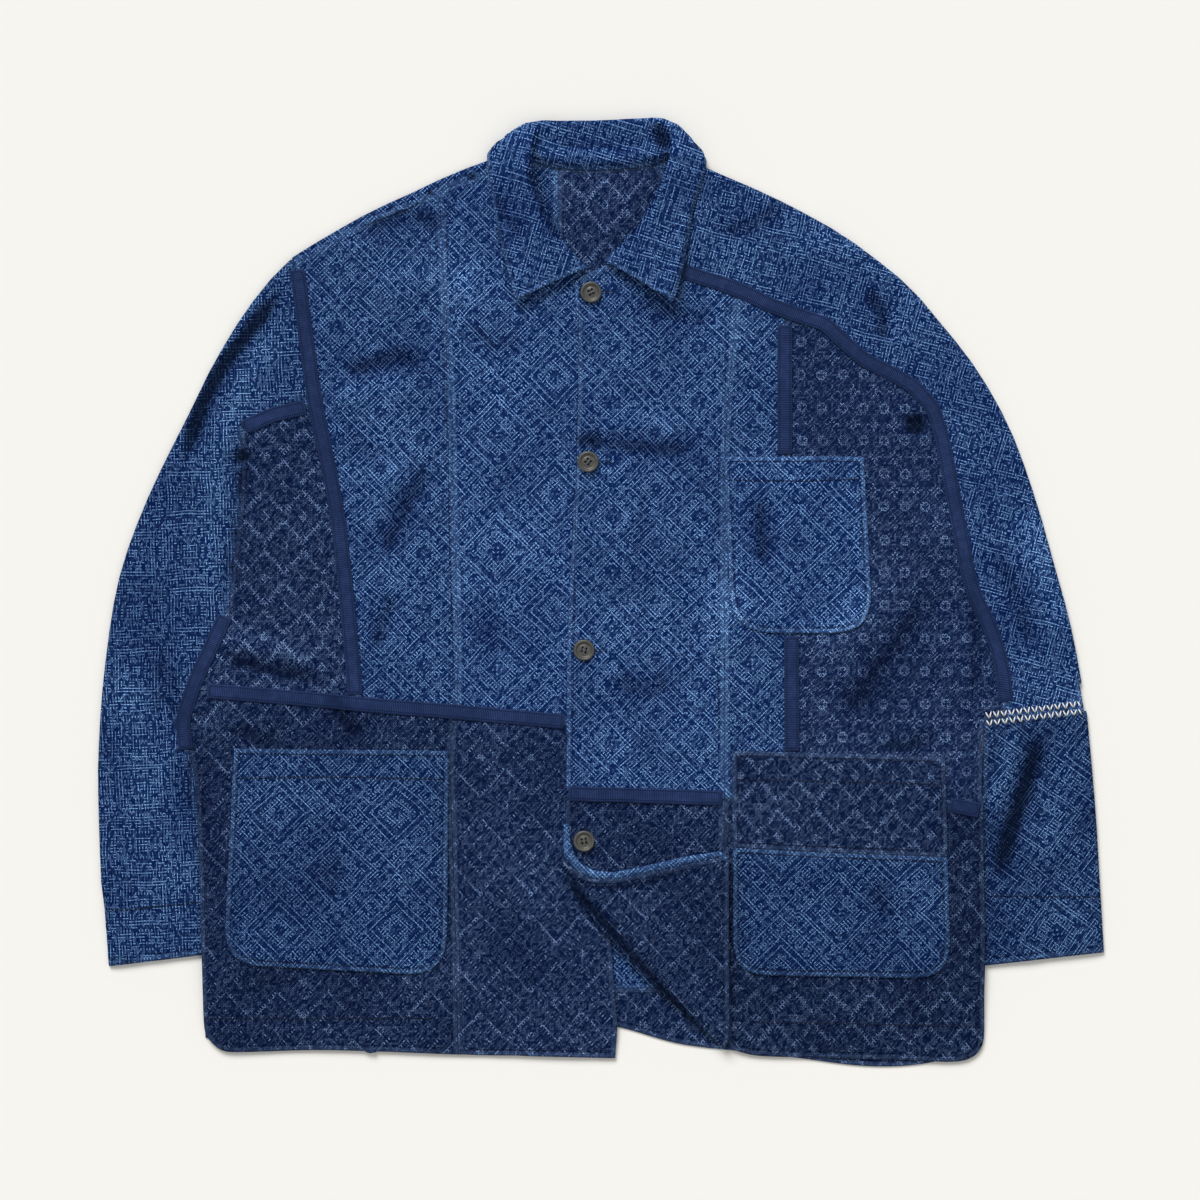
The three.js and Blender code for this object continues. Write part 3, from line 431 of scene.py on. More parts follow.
# Creases: a run of points in millimetres, half width, height (a trough is negative).
# Their heights also go into the cloths' colours: troughs are painted dark as shade, ridges painted
# light.
CREASES = [
    # the right sleeve, along its folded edge, and the hollows at the underarm
    ([(-264, 268), (-282, 243), (-301, 220), (-323, 191), (-339, 160), (-349, 129), (-361, 88)],
     8, -2.9),
    ([(-280, 266), (-304, 236), (-326, 206), (-346, 176), (-360, 146), (-372, 106)], 6, 1.2),
    ([(-258, 234), (-284, 200), (-309, 164), (-324, 118), (-334, 70)], 10, 1.5),
    ([(-306, 125), (-304, 96), (-310, 40), (-320, -20)], 7, -1.3),
    ([(-327, 110), (-328, 60), (-334, 10)], 12, 1.3),
    ([(-383, -20), (-366, -80), (-350, -140), (-341, -205)], 12, -1.1),
    ([(-402, -60), (-392, -130), (-380, -205)], 15, 1.3),
    ([(-345, -100), (-368, -150), (-392, -190)], 9, 1.2),
    ([(-306, 124), (-304, 110)], 7, -3.0),
    # across the right side, over and under the waist tape
    ([(-325, -52), (-300, -60), (-262, -68), (-224, -80)], 7, -2.0),
    ([(-328, -36), (-290, -44), (-232, -60)], 9, 2.4),
    ([(-312, -112), (-290, -124), (-268, -126)], 8, -1.5),
    ([(-236, -88), (-218, -104), (-200, -126)], 8, -1.8),
    ([(-345, -118), (-320, -108), (-300, -106)], 7, 1.4),
    # the right front
    ([(-228, 186), (-200, 192), (-172, 200), (-142, 194)], 11, -1.7),
    ([(-232, 168), (-190, 172), (-150, 180)], 12, 1.3),
    ([(-142, 118), (-158, 90), (-176, 58), (-186, 20)], 12, -1.6),
    ([(-166, 122), (-186, 84), (-202, 44)], 13, 1.4),
    ([(-176, 6), (-184, -22), (-196, -56)], 10, -1.4),
    ([(-226, 132), (-198, 122), (-170, 100)], 10, -1.1),
    ([(-210, 300), (-170, 322), (-118, 310)], 13, -1.3),
    ([(-200, 270), (-140, 268), (-92, 250)], 14, 1.2),
    ([(-120, 232), (-92, 210), (-60, 214)], 12, -1.2),
    ([(-70, 30), (-96, -10), (-90, -60)], 15, -0.9),
    ([(-150, -20), (-110, 4), (-60, -14)], 14, 0.9),
    # the left front
    # a trough whose painted shade stands for the shadow over the second button
    ([(-24, 127), (-12, 130), (0, 128)], 8, -1.9),
    ([(-14, 124), (10, 128), (52, 122), (96, 128)], 11, -1.6),
    ([(-10, 144), (30, 146), (80, 140)], 12, 1.2),
    ([(40, 96), (36, 60), (30, 20)], 9, -0.9),
    ([(134, 88), (136, 54), (140, 16)], 10, -1.6),
    ([(0, -70), (38, -84), (66, -70)], 15, -1.3),
    ([(20, 250), (60, 236), (110, 232)], 13, -1.2),
    ([(70, 20), (104, -10), (112, -60)], 15, 1.1),
    ([(40, -130), (80, -120), (120, -128)], 13, 0.9),
    # the left shoulder, underarm and side
    ([(92, 306), (128, 312), (166, 340)], 11, -1.4),
    ([(150, 286), (196, 300), (232, 284)], 13, 1.3),
    ([(222, 262), (238, 240), (240, 205)], 9, -1.7),
    ([(265, 153), (267, 143), (269, 134)], 8, -3.4),
    ([(256, 104), (284, 70), (292, 30)], 13, 1.1),
    ([(194, -108), (222, -84), (250, -40), (298, 22)], 15, -1.5),
    ([(172, -60), (214, -30), (262, 30)], 15, 1.3),
    ([(312, 20), (318, -40), (319, -104)], 6, -1.3),
    ([(290, -118), (262, -130), (232, -128)], 9, -1.5),
    # the left sleeve
    ([(330, 50), (352, 0), (372, -60)], 12, -1.2),
    ([(352, 74), (376, 20), (394, -46)], 14, 1.4),
    ([(374, -112), (364, -150), (346, -206), (334, -252)], 9, -2.7),
    ([(354, -112), (344, -150), (332, -190)], 9, 2.0),
    ([(396, -130), (388, -180), (378, -235)], 12, 1.2),
    # pockets, lower fronts and hem
    ([(-238, -226), (-230, -246), (-222, -262)], 14, -1.0),
    ([(-290, -180), (-262, -174), (-236, -182)], 12, 0.9),
    ([(-320, -326), (-282, -332), (-250, -322)], 12, -1.1),
    ([(-180, -318), (-140, -330), (-100, -322)], 12, 1.0),
    ([(-90, -250), (-60, -300), (-56, -350)], 13, -1.0),
    ([(-40, -200), (-60, -240), (-52, -290)], 12, 0.9),
    ([(232, -240), (240, -262), (236, -280)], 12, -1.1),
    ([(150, -238), (190, -228), (226, -236)], 12, 0.8),
    ([(150, -352), (200, -344), (262, -352)], 12, 0.9),
    # beneath the rolled edge, and along the fold of the turned-back corner, their troughs painted
    # dark as the shadow cast by the edge and the flap
    ([(-31, -238), (-20, -243), (-8, -248), (10, -250), (34, -246), (60, -239), (98, -230)],
     3.4, -1.7),
    ([(-28, -236), (-19, -254), (8, -285), (58, -343), (100, -384)], 4.0, -2.5),
]
# The hollows of the collar, beside its roll and where it bends round the back of the neck, painted
# dark as the shade cast by the roll and the bend.
COLLAR_CREASES = [
    ([(-58, 388), (-60, 352), (-51, 330), (-40, 306), (-24, 287)], 4.5, -1.7),
    ([(58, 388), (54, 356), (42, 330), (24, 300), (8, 286)], 4.0, -1.3),
    ([(42, 398), (52, 387), (52, 374)], 8, -2.3),
    ([(-92, 344), (-84, 322), (-62, 296)], 8, -1.2),
    ([(-48, 384), (-20, 379), (20, 379), (50, 384)], 4, -1.2),
]


def smooth(t):
    t = np.clip(t, 0, 1)
    return t * t * (3 - 2 * t)


def distance_to_run(x, y, run):
    """How far points are from a run, and the share of the run passed at the nearest place."""
    best = np.full(x.shape, np.inf)
    share = np.zeros(x.shape)
    steps = len(run) - 1
    for k in range(steps):
        (ax, ay), (bx, by) = run[k], run[k + 1]
        length = math.hypot(bx - ax, by - ay)
        t = np.clip(((x - ax) * (bx - ax) + (y - ay) * (by - ay)) / length ** 2, 0, 1)
        away = np.hypot(x - ax - t * (bx - ax), y - ay - t * (by - ay))
        share = np.where(away < best, (k + t) / steps, share)
        best = np.minimum(best, away)
    return best, share


def creases(x, y, runs=CREASES):
    """Height of the creases, in millimetres."""
    height = np.zeros(x.shape)
    for run, width, rise in runs:
        away, share = distance_to_run(x, y, run)
        ends = smooth(share / CREASE_END) * smooth((1 - share) / CREASE_END)
        height += CREASE_DEPTH * rise * ends * np.exp(-(away / width) ** 2)
    return height


def ripples(x, y):
    """Height of the soft waves all over the cloth, in millimetres."""
    wide = np.sin(x / 23 + 1.2 * np.sin(y / 41)) * np.sin(y / 29 + 1.1 * np.sin(x / 37))
    fine = np.sin((x + 1.7 * y) / 9 + 2 * np.sin(x / 19)) * np.sin((y - 0.6 * x) / 11)
    return 0.38 * wide + 0.16 * fine


SURFACES = {}               # the finished outer surface of each cloth, by its CAD node


def outer_skin(node):
    """A bmesh of the side of a cloth solid that looks out, with whatever rolls over with it."""
    bm = bmesh.new()
    bm.from_mesh(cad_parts[node].data)
    bmesh.ops.remove_doubles(bm, verts=bm.verts, dist=2e-6)
    bm.normal_update()
    tops = [face for face in bm.faces if face.normal.z > 0.9]
    start = max(tops, key=lambda face: face.calc_center_median().z)
    found = {start}
    edge_of_search = [start]
    while edge_of_search:
        face = edge_of_search.pop()
        for edge in face.edges:
            for other in edge.link_faces:
                if other not in found and face.normal.angle(other.normal) < SKIN_TURN:
                    found.add(other)
                    edge_of_search.append(other)
    bmesh.ops.delete(bm, geom=[face for face in bm.faces if face not in found], context="FACES")
    return bm


def cut_grid(bm, step):
    """Cuts a mesh along an even square grid seen from above."""
    for axis in (Vector((1, 0, 0)), Vector((0, 1, 0))):
        reach = [vert.co.dot(axis) for vert in bm.verts]
        for line in range(math.ceil(min(reach) / step), math.floor(max(reach) / step) + 1):
            bmesh.ops.bisect_plane(
                bm, geom=bm.verts[:] + bm.edges[:] + bm.faces[:], dist=1e-6,
                plane_co=axis * (line * step), plane_no=axis)


def ease_border(bm, rounds):
    """Rounds the long facets of a border and leaves its corners."""
    for _ in range(rounds):
        places = {}
        for vert in bm.verts:
            rim = [edge for edge in vert.link_edges if edge.is_boundary]
            if len(rim) != 2:
                continue
            before, after = [edge.other_vert(vert).co for edge in rim]
            turn = (vert.co - before).angle(after - vert.co, 0.0)
            if turn < CORNER_TURN:
                places[vert] = vert.co.lerp((before + after) / 2, 0.5)
        for vert, place in places.items():
            vert.co = place


def border_tree(bm):
    """A search tree of points along the border of a sheet."""
    places = []
    for edge in bm.edges:
        if edge.is_boundary:
            first, second = [vert.co for vert in edge.verts]
            count = max(1, math.ceil(edge.calc_length() / BORDER_SPACING))
            places.extend(first.lerp(second, n / count) for n in range(count))
    tree = kdtree.KDTree(len(places))
    for index, place in enumerate(places):
        tree.insert(place, index)
    tree.balance()
    return tree


def soften(bm, rounds, heights_only):
    """Rounds the folds inside a sheet, or only their heights, with its border held."""
    inner = [vert for vert in bm.verts if not vert.is_boundary]
    for _ in range(rounds):
        bmesh.ops.smooth_vert(bm, verts=inner, factor=0.5, use_axis_x=not heights_only,
                              use_axis_y=not heights_only, use_axis_z=True)


def add_relief(bm, amount, runs=CREASES):
    """Lifts the upward-looking parts of a sheet by the creases, and stores their heights, which the
    colours paint as shade in troughs and light on ridges.
    """
    bm.normal_update()
    layer = bm.verts.layers.float.new("fold")
    x, y, _ = np.array([vert.co for vert in bm.verts]).T / MM
    looks_up = smooth((np.array([vert.normal.z for vert in bm.verts]) + 0.1) / 0.8)
    folds = creases(x, y, runs) * looks_up * amount
    waves = ripples(x, y) * looks_up * amount
    for vert, crease, wave in zip(bm.verts, folds, waves):
        vert[layer] = crease
        vert.co.z += (crease + wave) * MM


def roll_rim(bm, grow):
    """Turns the cut edge of a sheet down and stores each point's distance from the edge."""
    layer = bm.verts.layers.float.new("edge")
    tree = border_tree(bm)
    for vert in bm.verts:
        vert[layer] = tree.find(vert.co)[2] / MM
    bmesh.ops.inset_region(bm, faces=bm.faces[:], thickness=RIM_WIDTH, use_boundary=True,
                           use_even_offset=False)
    rim = [vert for vert in bm.verts if vert.is_boundary]
    inner = {vert: [edge.other_vert(vert) for edge in vert.link_edges if not edge.is_boundary]
             for vert in rim}
    for vert in bm.verts:
        if not vert.is_boundary and vert[layer] < RIM_WIDTH / MM:
            vert[layer] = RIM_WIDTH / MM
    for vert in rim:
        vert[layer] = 0.0
        if inner[vert]:
            away = vert.co - inner[vert][0].co
            vert.co += away.normalized() * grow
        vert.co -= vert.normal * RIM_DROP


def add_object(name, data):
    item = bpy.data.objects.new(name, data)
    bpy.context.scene.collection.objects.link(item)
    return item


def add_mesh(name, bm):
    """Makes an object of a bmesh, and frees the bmesh."""
    mesh = bpy.data.meshes.new(name)
    bm.to_mesh(mesh)
    bm.free()
    return add_object(name, mesh)


def as_piece(bm, name, finish):
    """Makes a finished object of a bmesh, riding on the jacket's one body."""
    material, slot = finish
    piece = add_mesh(name, bm)
    piece.data.shade_smooth()
    piece.data.materials.append(material)
    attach(piece, "root")
    return piece


def as_sheet(bm, node, cloth, wall):
    """Stands a draped cloth in for its CAD node, and gives it with the area of its outer face."""
    SURFACES[node] = BVHTree.FromBMesh(bm)
    area = sum(face.calc_area() for face in bm.faces)
    piece = as_piece(bm, "cloth_" + node, cloth)
    thick = piece.modifiers.new("Wall", "SOLIDIFY")
    thick.thickness = wall
    thick.offset = -1
    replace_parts(piece, node)
    return piece, area


def keep_off_ground(bm, room):
    """Leaves room under the outer face for the cloth's own layers, down to where it lies."""
    bm.normal_update()
    for vert in bm.verts:
        vert.co.z = max(vert.co.z, room * max(vert.normal.z, 0.0))


def cloth_piece(node, cloth, step=None, relief=1.0, wall=CLOTH_WALL, rolled=False, grow=RIM_GROW,
                ease=5):
    """The draped cloth that stands for one CAD panel.

    relief is how much of the creases it takes, rolled says that it rolls over at a folded edge,
    grow is how far its rim reaches out, and ease the rounds that smooth its border.
    """
    step = step or bpy.context.scene.jacket_cloth.mesh_step
    # a rolled panel keeps its fold, so less is merged and softened, and two walls fit beneath it
    merged, rounds, walls = (0.06, 2, 2.2) if rolled else (0.22, 3, 1.0)
    bm = outer_skin(node)
    bmesh.ops.dissolve_limit(bm, angle_limit=math.radians(0.2), verts=bm.verts, edges=bm.edges)
    cut_grid(bm, step)
    bmesh.ops.remove_doubles(bm, verts=bm.verts, dist=step * merged)
    bmesh.ops.triangulate(bm, faces=[face for face in bm.faces if len(face.verts) > 4])
    ease_border(bm, ease)
    soften(bm, rounds, rolled)
    add_relief(bm, relief)
    roll_rim(bm, grow)
    keep_off_ground(bm, walls * wall)
    low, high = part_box(node)
    piece, area = as_sheet(bm, node, cloth, wall)
    declare_sheet(area, high - low)
    return piece


def declare_sheet(area, reach):
    """Works out the flat size that a cloth was cut to, without passing it on."""
    width, length = max(reach.x, LEAST_SHEET), max(reach.y, LEAST_SHEET)
    if area > width * length:
        grow = math.sqrt(area / (width * length)) * 1.001
        width, length = width * grow, length * grow
    if area < LEAST_FILL * width * length:
        length = area / (GIVEN_FILL * width)


def panel(node, figure, centre, turn=0.0, tone=1.0, **drape):
    """The panel for one CAD node, in a figured cloth of its own."""
    cloth_piece(node, figured_cloth(node + "_cloth", figure, centre, turn, tone), **drape)


# ---------------------------------------------------------------- operators


class JacketOperator(bpy.types.Operator):
    """A step of the jacket's making."""

    bl_options = {"REGISTER", "UNDO"}

    @classmethod
    def poll(cls, context):
        return context.scene is not None


class JACKET_OT_back(JacketOperator):
    """Makes the four cloths of the back"""

    bl_idname = "jacket.back"
    bl_label = "Back"

    def execute(self, context):
        hidden = {"step": context.scene.jacket_cloth.hidden_step, "relief": 0.0}
        panel("back_right", "diamonds", (-110, 20), rolled=True, grow=1.1 * MM, **hidden)
        panel("back_left", "lattice", (5, 330), tone=1.15, **hidden)
        panel("back_lower", "diamonds", (0, -260), **hidden)
        panel("back_hem", "lattice", (20, -360), **hidden)
        return {"FINISHED"}


class JACKET_OT_right_front(JacketOperator):
    """Makes the right front, with its lattice patch and dark lower cloths"""

    bl_idname = "jacket.right_front"
    bl_label = "Right front"

    def execute(self, context):
        panel("right_front_side", "chain", (-186, 155), grow=0.9 * MM)
        panel("right_front_centre", "diamonds", (-87, 135), tone=1.1)
        panel("right_side_patch", "lattice", (-268, 40))
        panel("right_lower_side", "zigzag", (-230, -120), tone=0.82, ease=18)
        panel("right_lower_centre", "zigzag", (-80, -180))
        return {"FINISHED"}


class JACKET_OT_left_front(JacketOperator):
    """Makes the left front, with its floret patch and the corner that is turned back"""

    bl_idname = "jacket.left_front"
    bl_label = "Left front"

    def execute(self, context):
        panel("left_front_centre", "chain", (48, 186), tone=1.05)
        panel("left_front_side", "diamonds", (130, 140))
        panel("left_side_patch", "florets", (180, 200), tone=1.1)
        panel("left_lower_centre", "zigzag", (60, -200), tone=0.82)
        panel("left_lower_side", "lattice", (230, -360), tone=0.72, ease=18)
        return {"FINISHED"}


# The faded front edge, rolled over along the top of the turned-back corner, in millimetres.
ROLLED_EDGE = [(-29.5, -196), (-29, -210), (-27, -222), (-20, -232.5), (-8, -239), (10, -241),
               (34, -236.5), (59, -230.5), (86, -225), (106, -220.5)]
EDGE_RADIUS = 4.4 * MM
EDGE_SPACING = 2.5          # between the rings of the roll, in millimetres
EDGE_FLATNESS = 0.62        # its height for its width
EDGE_TAPER = 0.55           # its width at the ends


class JACKET_OT_rolled_edge(JacketOperator):
    """Rolls the faded front edge over along the top of the turned-back corner"""

    bl_idname = "jacket.rolled_edge"
    bl_label = "Rolled edge"

    def execute(self, context):
        bm = bmesh.new()
        below = ["left_lower_centre"]
        stops = []
        for x, y in spaced(ROLLED_EDGE, EDGE_SPACING):
            stops.append(on_cloth(x, y, below) or on_cloth(x, y - 3, below) or on_cloth(x, y))
        for _ in range(4):
            stops = [stops[0]] + [
                Vector((b.x, b.y, (a.z + 2 * b.z + c.z) / 4))
                for a, b, c in zip(stops, stops[1:], stops[2:])] + [stops[-1]]
        rings = []
        for n, place in enumerate(stops):
            before, after = stops[max(n - 1, 0)], stops[min(n + 1, len(stops) - 1)]
            turn = (after - before).to_track_quat("Z", "Y").to_matrix().to_4x4()
            share = n / (len(stops) - 1)
            full = float(smooth(np.array(min(share, 1 - share) * 6)))
            radius = EDGE_RADIUS * (EDGE_TAPER + (1 - EDGE_TAPER) * full)
            flat = Matrix.Diagonal((1.0, EDGE_FLATNESS, 1.0, 1.0))
            ring = bmesh.ops.create_circle(bm, segments=14, radius=radius,
                                           matrix=Matrix.Translation(place) @ turn @ flat)
            rings.append(ring["verts"])
        for one, two in zip(rings, rings[1:]):
            edges = [edge for verts in (one, two) for edge in bm.edges
                     if edge.verts[0] in verts and edge.verts[1] in verts]
            bmesh.ops.bridge_loops(bm, edges=edges)
        for ring in (rings[0], rings[-1]):
            bmesh.ops.contextual_create(bm, geom=ring)
        bmesh.ops.recalc_face_normals(bm, faces=bm.faces)
        as_piece(bm, "rolled_front_edge", figured_cloth("rolled_edge_cloth", "chain", (0, -230)))
        return {"FINISHED"}


class JACKET_OT_sleeves(JacketOperator):
    """Makes the two sleeves, folded along their outer edges"""

    bl_idname = "jacket.sleeves"
    bl_label = "Sleeves"

    def execute(self, context):
        panel("right_sleeve", "frets", (-346, 36), 47, 0.86, rolled=True, grow=1.1 * MM)
        panel("left_sleeve_upper", "frets", (240, 250), 30, rolled=True, grow=0.9 * MM)
        panel("left_sleeve_lower", "diamonds", (375, -190), 8, 0.72, rolled=True, grow=0.9 * MM)
        return {"FINISHED"}


class JACKET_OT_collar(JacketOperator):
    """Makes the turned-down collar"""

    bl_idname = "jacket.collar"
    bl_label = "Collar"

    def execute(self, context):
        bm = outer_skin("collar")
        bmesh.ops.join_triangles(bm, faces=bm.faces, angle_face_threshold=3.2,
                                 angle_shape_threshold=3.2)
        for roundness in (1.0, 0.5):
            bmesh.ops.subdivide_edges(bm, edges=bm.edges, cuts=1, use_grid_fill=True,
                                      smooth=roundness)
        add_relief(bm, 1.0, COLLAR_CREASES)
        roll_rim(bm, RIM_GROW)
        keep_off_ground(bm, CLOTH_WALL)
        cloth = figured_cloth("collar_cloth", "diamonds", (-80, 300), 28, 1.12)
        piece, area = as_sheet(bm, "collar", cloth, COLLAR_WALL)
        return {"FINISHED"}


class JACKET_OT_pockets(JacketOperator):
    """Makes the three patch pockets"""

    bl_idname = "jacket.pockets"
    bl_label = "Pockets"

    def execute(self, context):
        panel("right_pocket", "diamonds", (-222, -235), tone=0.8)
        panel("chest_pocket", "diamonds", (168, 43), tone=1.12)
        panel("left_pocket_upper", "lattice", (200, -180), tone=0.9)
        panel("left_pocket_lower", "diamonds", (203, -270), tone=0.76)
        return {"FINISHED"}


# Centre lines of the tapes, in millimetres.
TAPES = {
    "tape_right_arm": [(-257.6, 274), (-252, 230), (-246, 186), (-242.5, 161), (-225, 75),
                       (-218, 17), (-212, -44), (-208.6, -86)],
    "tape_right_cross": [(-251, 157.5), (-271, 154), (-297, 144), (-303, 140)],
    "tape_right_under": [(-319, -20), (-330, -44), (-344, -74), (-354, -104), (-356, -125),
                         (-352, -133)],
    "tape_waist": [(-334, -83), (-260, -89), (-208, -94), (-122, -101), (-31.5, -109)],
    "tape_belt_centre": [(-27.5, -170), (103, -174)],
    "tape_belt_side": [(296, -179.5), (321, -184.5)],
    "tape_strip_upper": [(156, 227), (156, 117.5)],
    "tape_strip_lower": [(161.6, -37), (162, -134)],
    "tape_raglan": [(58, 277.5), (84, 268), (116, 258), (138, 247), (156, 239), (191, 228),
                    (208, 211), (226, 196), (253, 183), (275, 167), (286, 145), (293, 114),
                    (300, 76), (307, 41), (315, 3), (332, -33), (341, -67), (343.6, -92)],
}


class JACKET_OT_tapes(JacketOperator):
    """Makes the binding tapes over the patch seams"""

    bl_idname = "jacket.tapes"
    bl_label = "Tapes"

    def execute(self, context):
        cloth = tape_cloth("tape_cloth")
        for node, run in TAPES.items():
            mesh = cloth_piece(node, cloth, TAPE_STEP, wall=TAPE_WALL).data
            places = np.array([vert.co for vert in mesh.vertices]) / MM
            lengths = np.cumsum([0] + [math.dist(a, b) for a, b in zip(run, run[1:])])
            _, share = distance_to_run(places[:, 0], places[:, 1], run)
            along = np.interp(share * (len(run) - 1), np.arange(len(run)), lengths)
            mesh.attributes.new("along", "FLOAT", "POINT").data.foreach_set("value", along)
        return {"FINISHED"}


def on_cloth(x, y, nodes=None):
    """The highest point of the cloths, or of some nodes' cloths, over a place in millimetres."""
    above, down = Vector((x * MM, y * MM, CLEAR_HEIGHT)), Vector((0, 0, -1))
    hits = [SURFACES[node].ray_cast(above, down)[0] for node in nodes or SURFACES]
    return max((hit for hit in hits if hit is not None), key=lambda hit: hit.z, default=None)


def spindle(bm, first, second, half_width, lift=0.25):
    """One stitch of thread between two points, rounded and half sunk in the cloth."""
    axis = second - first
    turn = axis.to_track_quat("X", "Z").to_matrix().to_4x4()
    middle = (first + second) / 2 + Vector((0, 0, lift * half_width))
    size = Matrix.Diagonal((axis.length / 2, half_width, 0.8 * half_width, 1))
    bmesh.ops.create_icosphere(bm, subdivisions=1, radius=1.0,
                               matrix=Matrix.Translation(middle) @ turn @ size)


def spaced(run, spacing):
    """Points at even spacing along a run."""
    lengths = np.cumsum([0] + [math.dist(a, b) for a, b in zip(run, run[1:])])
    count = max(2, round(lengths[-1] / spacing))
    marks = np.linspace(0, lengths[-1], count + 1)
    xs = np.interp(marks, lengths, [point[0] for point in run])
    ys = np.interp(marks, lengths, [point[1] for point in run])
    return list(zip(xs, ys))


class Sewing:
    """Many stitches, gathered run by run and made one mesh."""

    def __init__(self):
        self.bm = bmesh.new()

    def take(self, run_bm):
        mesh = bpy.data.meshes.new("run")
        run_bm.to_mesh(mesh)
        run_bm.free()
        self.bm.from_mesh(mesh)
        bpy.data.meshes.remove(mesh)

    def run(self, points, stitch=3.0, nodes=None, thread=THREAD):
        """A line of running stitches along a run of points in millimetres."""
        bm = bmesh.new()
        stops = spaced(points, stitch)
        for (ax, ay), (bx, by) in zip(stops, stops[1:]):
            cx, cy = ax + (bx - ax) * STITCH_FILL, ay + (by - ay) * STITCH_FILL
            start, end = on_cloth(ax, ay, nodes), on_cloth(cx, cy, nodes)
            if start and end and abs(start.z - end.z) < STITCH_CLIMB:
                spindle(bm, start, end, thread)
        self.take(bm)

    def stroke(self, ax, ay, bx, by, half_width, lift=0.9):
        """One long stitch from place to place in millimetres."""
        start, end = on_cloth(ax, ay), on_cloth(bx, by)
        if start and end:
            bm = bmesh.new()
            spindle(bm, start, end, half_width, lift)
            self.take(bm)

    def piece(self, name, finish):
        as_piece(self.bm, name, finish)


def inset_border(node, inset):
    """Runs that follow a CAD cloth's border at a distance inside it, in millimetres."""
    bm = outer_skin(node)
    bmesh.ops.dissolve_limit(bm, angle_limit=math.radians(2), verts=bm.verts, edges=bm.edges)
    strip = bmesh.ops.inset_region(bm, faces=bm.faces[:], thickness=inset * MM, use_boundary=True,
                                   use_even_offset=True)["faces"]
    waiting = [edge for face in strip for edge in face.edges
               if not any(vert.is_boundary for vert in edge.verts)]
    runs = []
    while waiting:
        run = list(waiting.pop().verts)
        while True:
            step = next((edge for edge in waiting if run[-1] in edge.verts), None)
            if step is None:
                break
            waiting.remove(step)
            run.append(step.other_vert(run[-1]))
        runs.append([(vert.co.x / MM, vert.co.y / MM) for vert in run])
    bm.free()
    return runs


# Lines of machine stitching, in millimetres.
SEAM_RUNS = [
    [(-119, -388), (8, -388)],
    [(-18.5, 268), (-19.5, 200), (-21, 100), (-22.5, 0), (-24, -100), (-25, -160)],
    [(-130, 330), (-131, 200), (-129, 60), (-124, -98)],
    [(-122, -108), (-121, -250), (-119, -392)],
    [(106, 262), (105, 120)],
    [(96.5, -20), (101, -120)],
]
# The hems of the cuffs, the fronts and the pockets, sewn with a heavier thread.
HEM_RUNS = [
    [(-424, -268.5), (-403, -269), (-375, -266), (-341, -262.5)],
    [(327, -257), (366, -257.5), (424, -257.5)],
    [(-336, -361), (-139, -361)],
    [(132, -364), (230, -366), (324, -368)],
    [(-310, -157), (-218, -156), (-131, -158)],
    [(104.5, 96), (165, 95), (221, 96.5)],
    [(110.5, -158), (200, -160), (285, -162)],
]
# The white chevrons across the left sleeve: the ends of their line in millimetres, how many stand
# in a row, and how far off the line the points and the open ends of each row are.
HAND_LINE = Vector((326.5, -110.0)), Vector((411.0, -99.5))
HAND_STITCHES = 13
HAND_ROWS = [(-3.6, 2.4), (3.0, 9.0)]


class JACKET_OT_sewing(JacketOperator):
    """Sews the topstitching, the hems and the white hand stitches on the left sleeve"""

    bl_idname = "jacket.sewing"
    bl_label = "Sewing"

    def execute(self, context):
        trim = context.scene.jacket_trim
        seams = Sewing()
        for run in SEAM_RUNS:
            seams.run(run)
        for run in HEM_RUNS:
            seams.run(run, stitch=4.0, thread=2 * THREAD)
        for node in ("right_pocket", "chest_pocket", "left_pocket_upper", "left_pocket_lower"):
            for run in inset_border(node, SEAM_INSET / MM):
                seams.run(run, nodes=[node])
        seams.piece("machine_stitches", thread_finish("sewing_thread", tuple(trim.thread_colour)))

        hand = Sewing()
        first, last = HAND_LINE
        side = (last - first).orthogonal().normalized()
        if side.y < 0:
            side = -side
        for row, (low, high) in enumerate(HAND_ROWS):
            for n in range(HAND_STITCHES):
                lean = 0.35 * math.sin(5 * n + 2 * row)
                start = first.lerp(last, (n + 0.1) / HAND_STITCHES)
                middle = first.lerp(last, (n + 0.5 + 0.1 * lean) / HAND_STITCHES)
                end = first.lerp(last, (n + 0.9) / HAND_STITCHES)
                for outer in (start, end):
                    a = outer + side * (high + lean)
                    b = middle + side * (low - 0.5 * lean)
                    hand.stroke(a.x, a.y, b.x, b.y, HAND_THREAD)
        hand.piece("hand_stitches", thread_finish("hand_thread", tuple(trim.hand_thread)))
        return {"FINISHED"}


# Half a button's outline, from its middle to its rim and back under: radius and height in
# millimetres.
BUTTON_PROFILE = [(0.0, 1.9), (3.8, 1.9), (4.5, 1.5), (5.4, 1.3), (6.2, 1.9), (6.9, 3.0), (7.6, 3.4),
                  (8.4, 3.2), (9.0, 2.3), (8.8, 1.3), (7.6, 0.5), (4.0, 0.1), (0.0, 0.0)]
HOLE_RADIUS = 0.95 * MM
HOLE_PLACE = 1.75 * MM      # each of the four holes is this far off the middle, both ways
BUTTON_LIFT = 0.1 * MM      # a button lies this far off the cloth
THREAD_LEVEL = 2.1 * MM     # its thread crosses its dish at this height
BUTTONHOLE = 14             # stitches along each lip of a buttonhole
BUTTONHOLE_STEP = 1.1       # from stitch to stitch, in millimetres


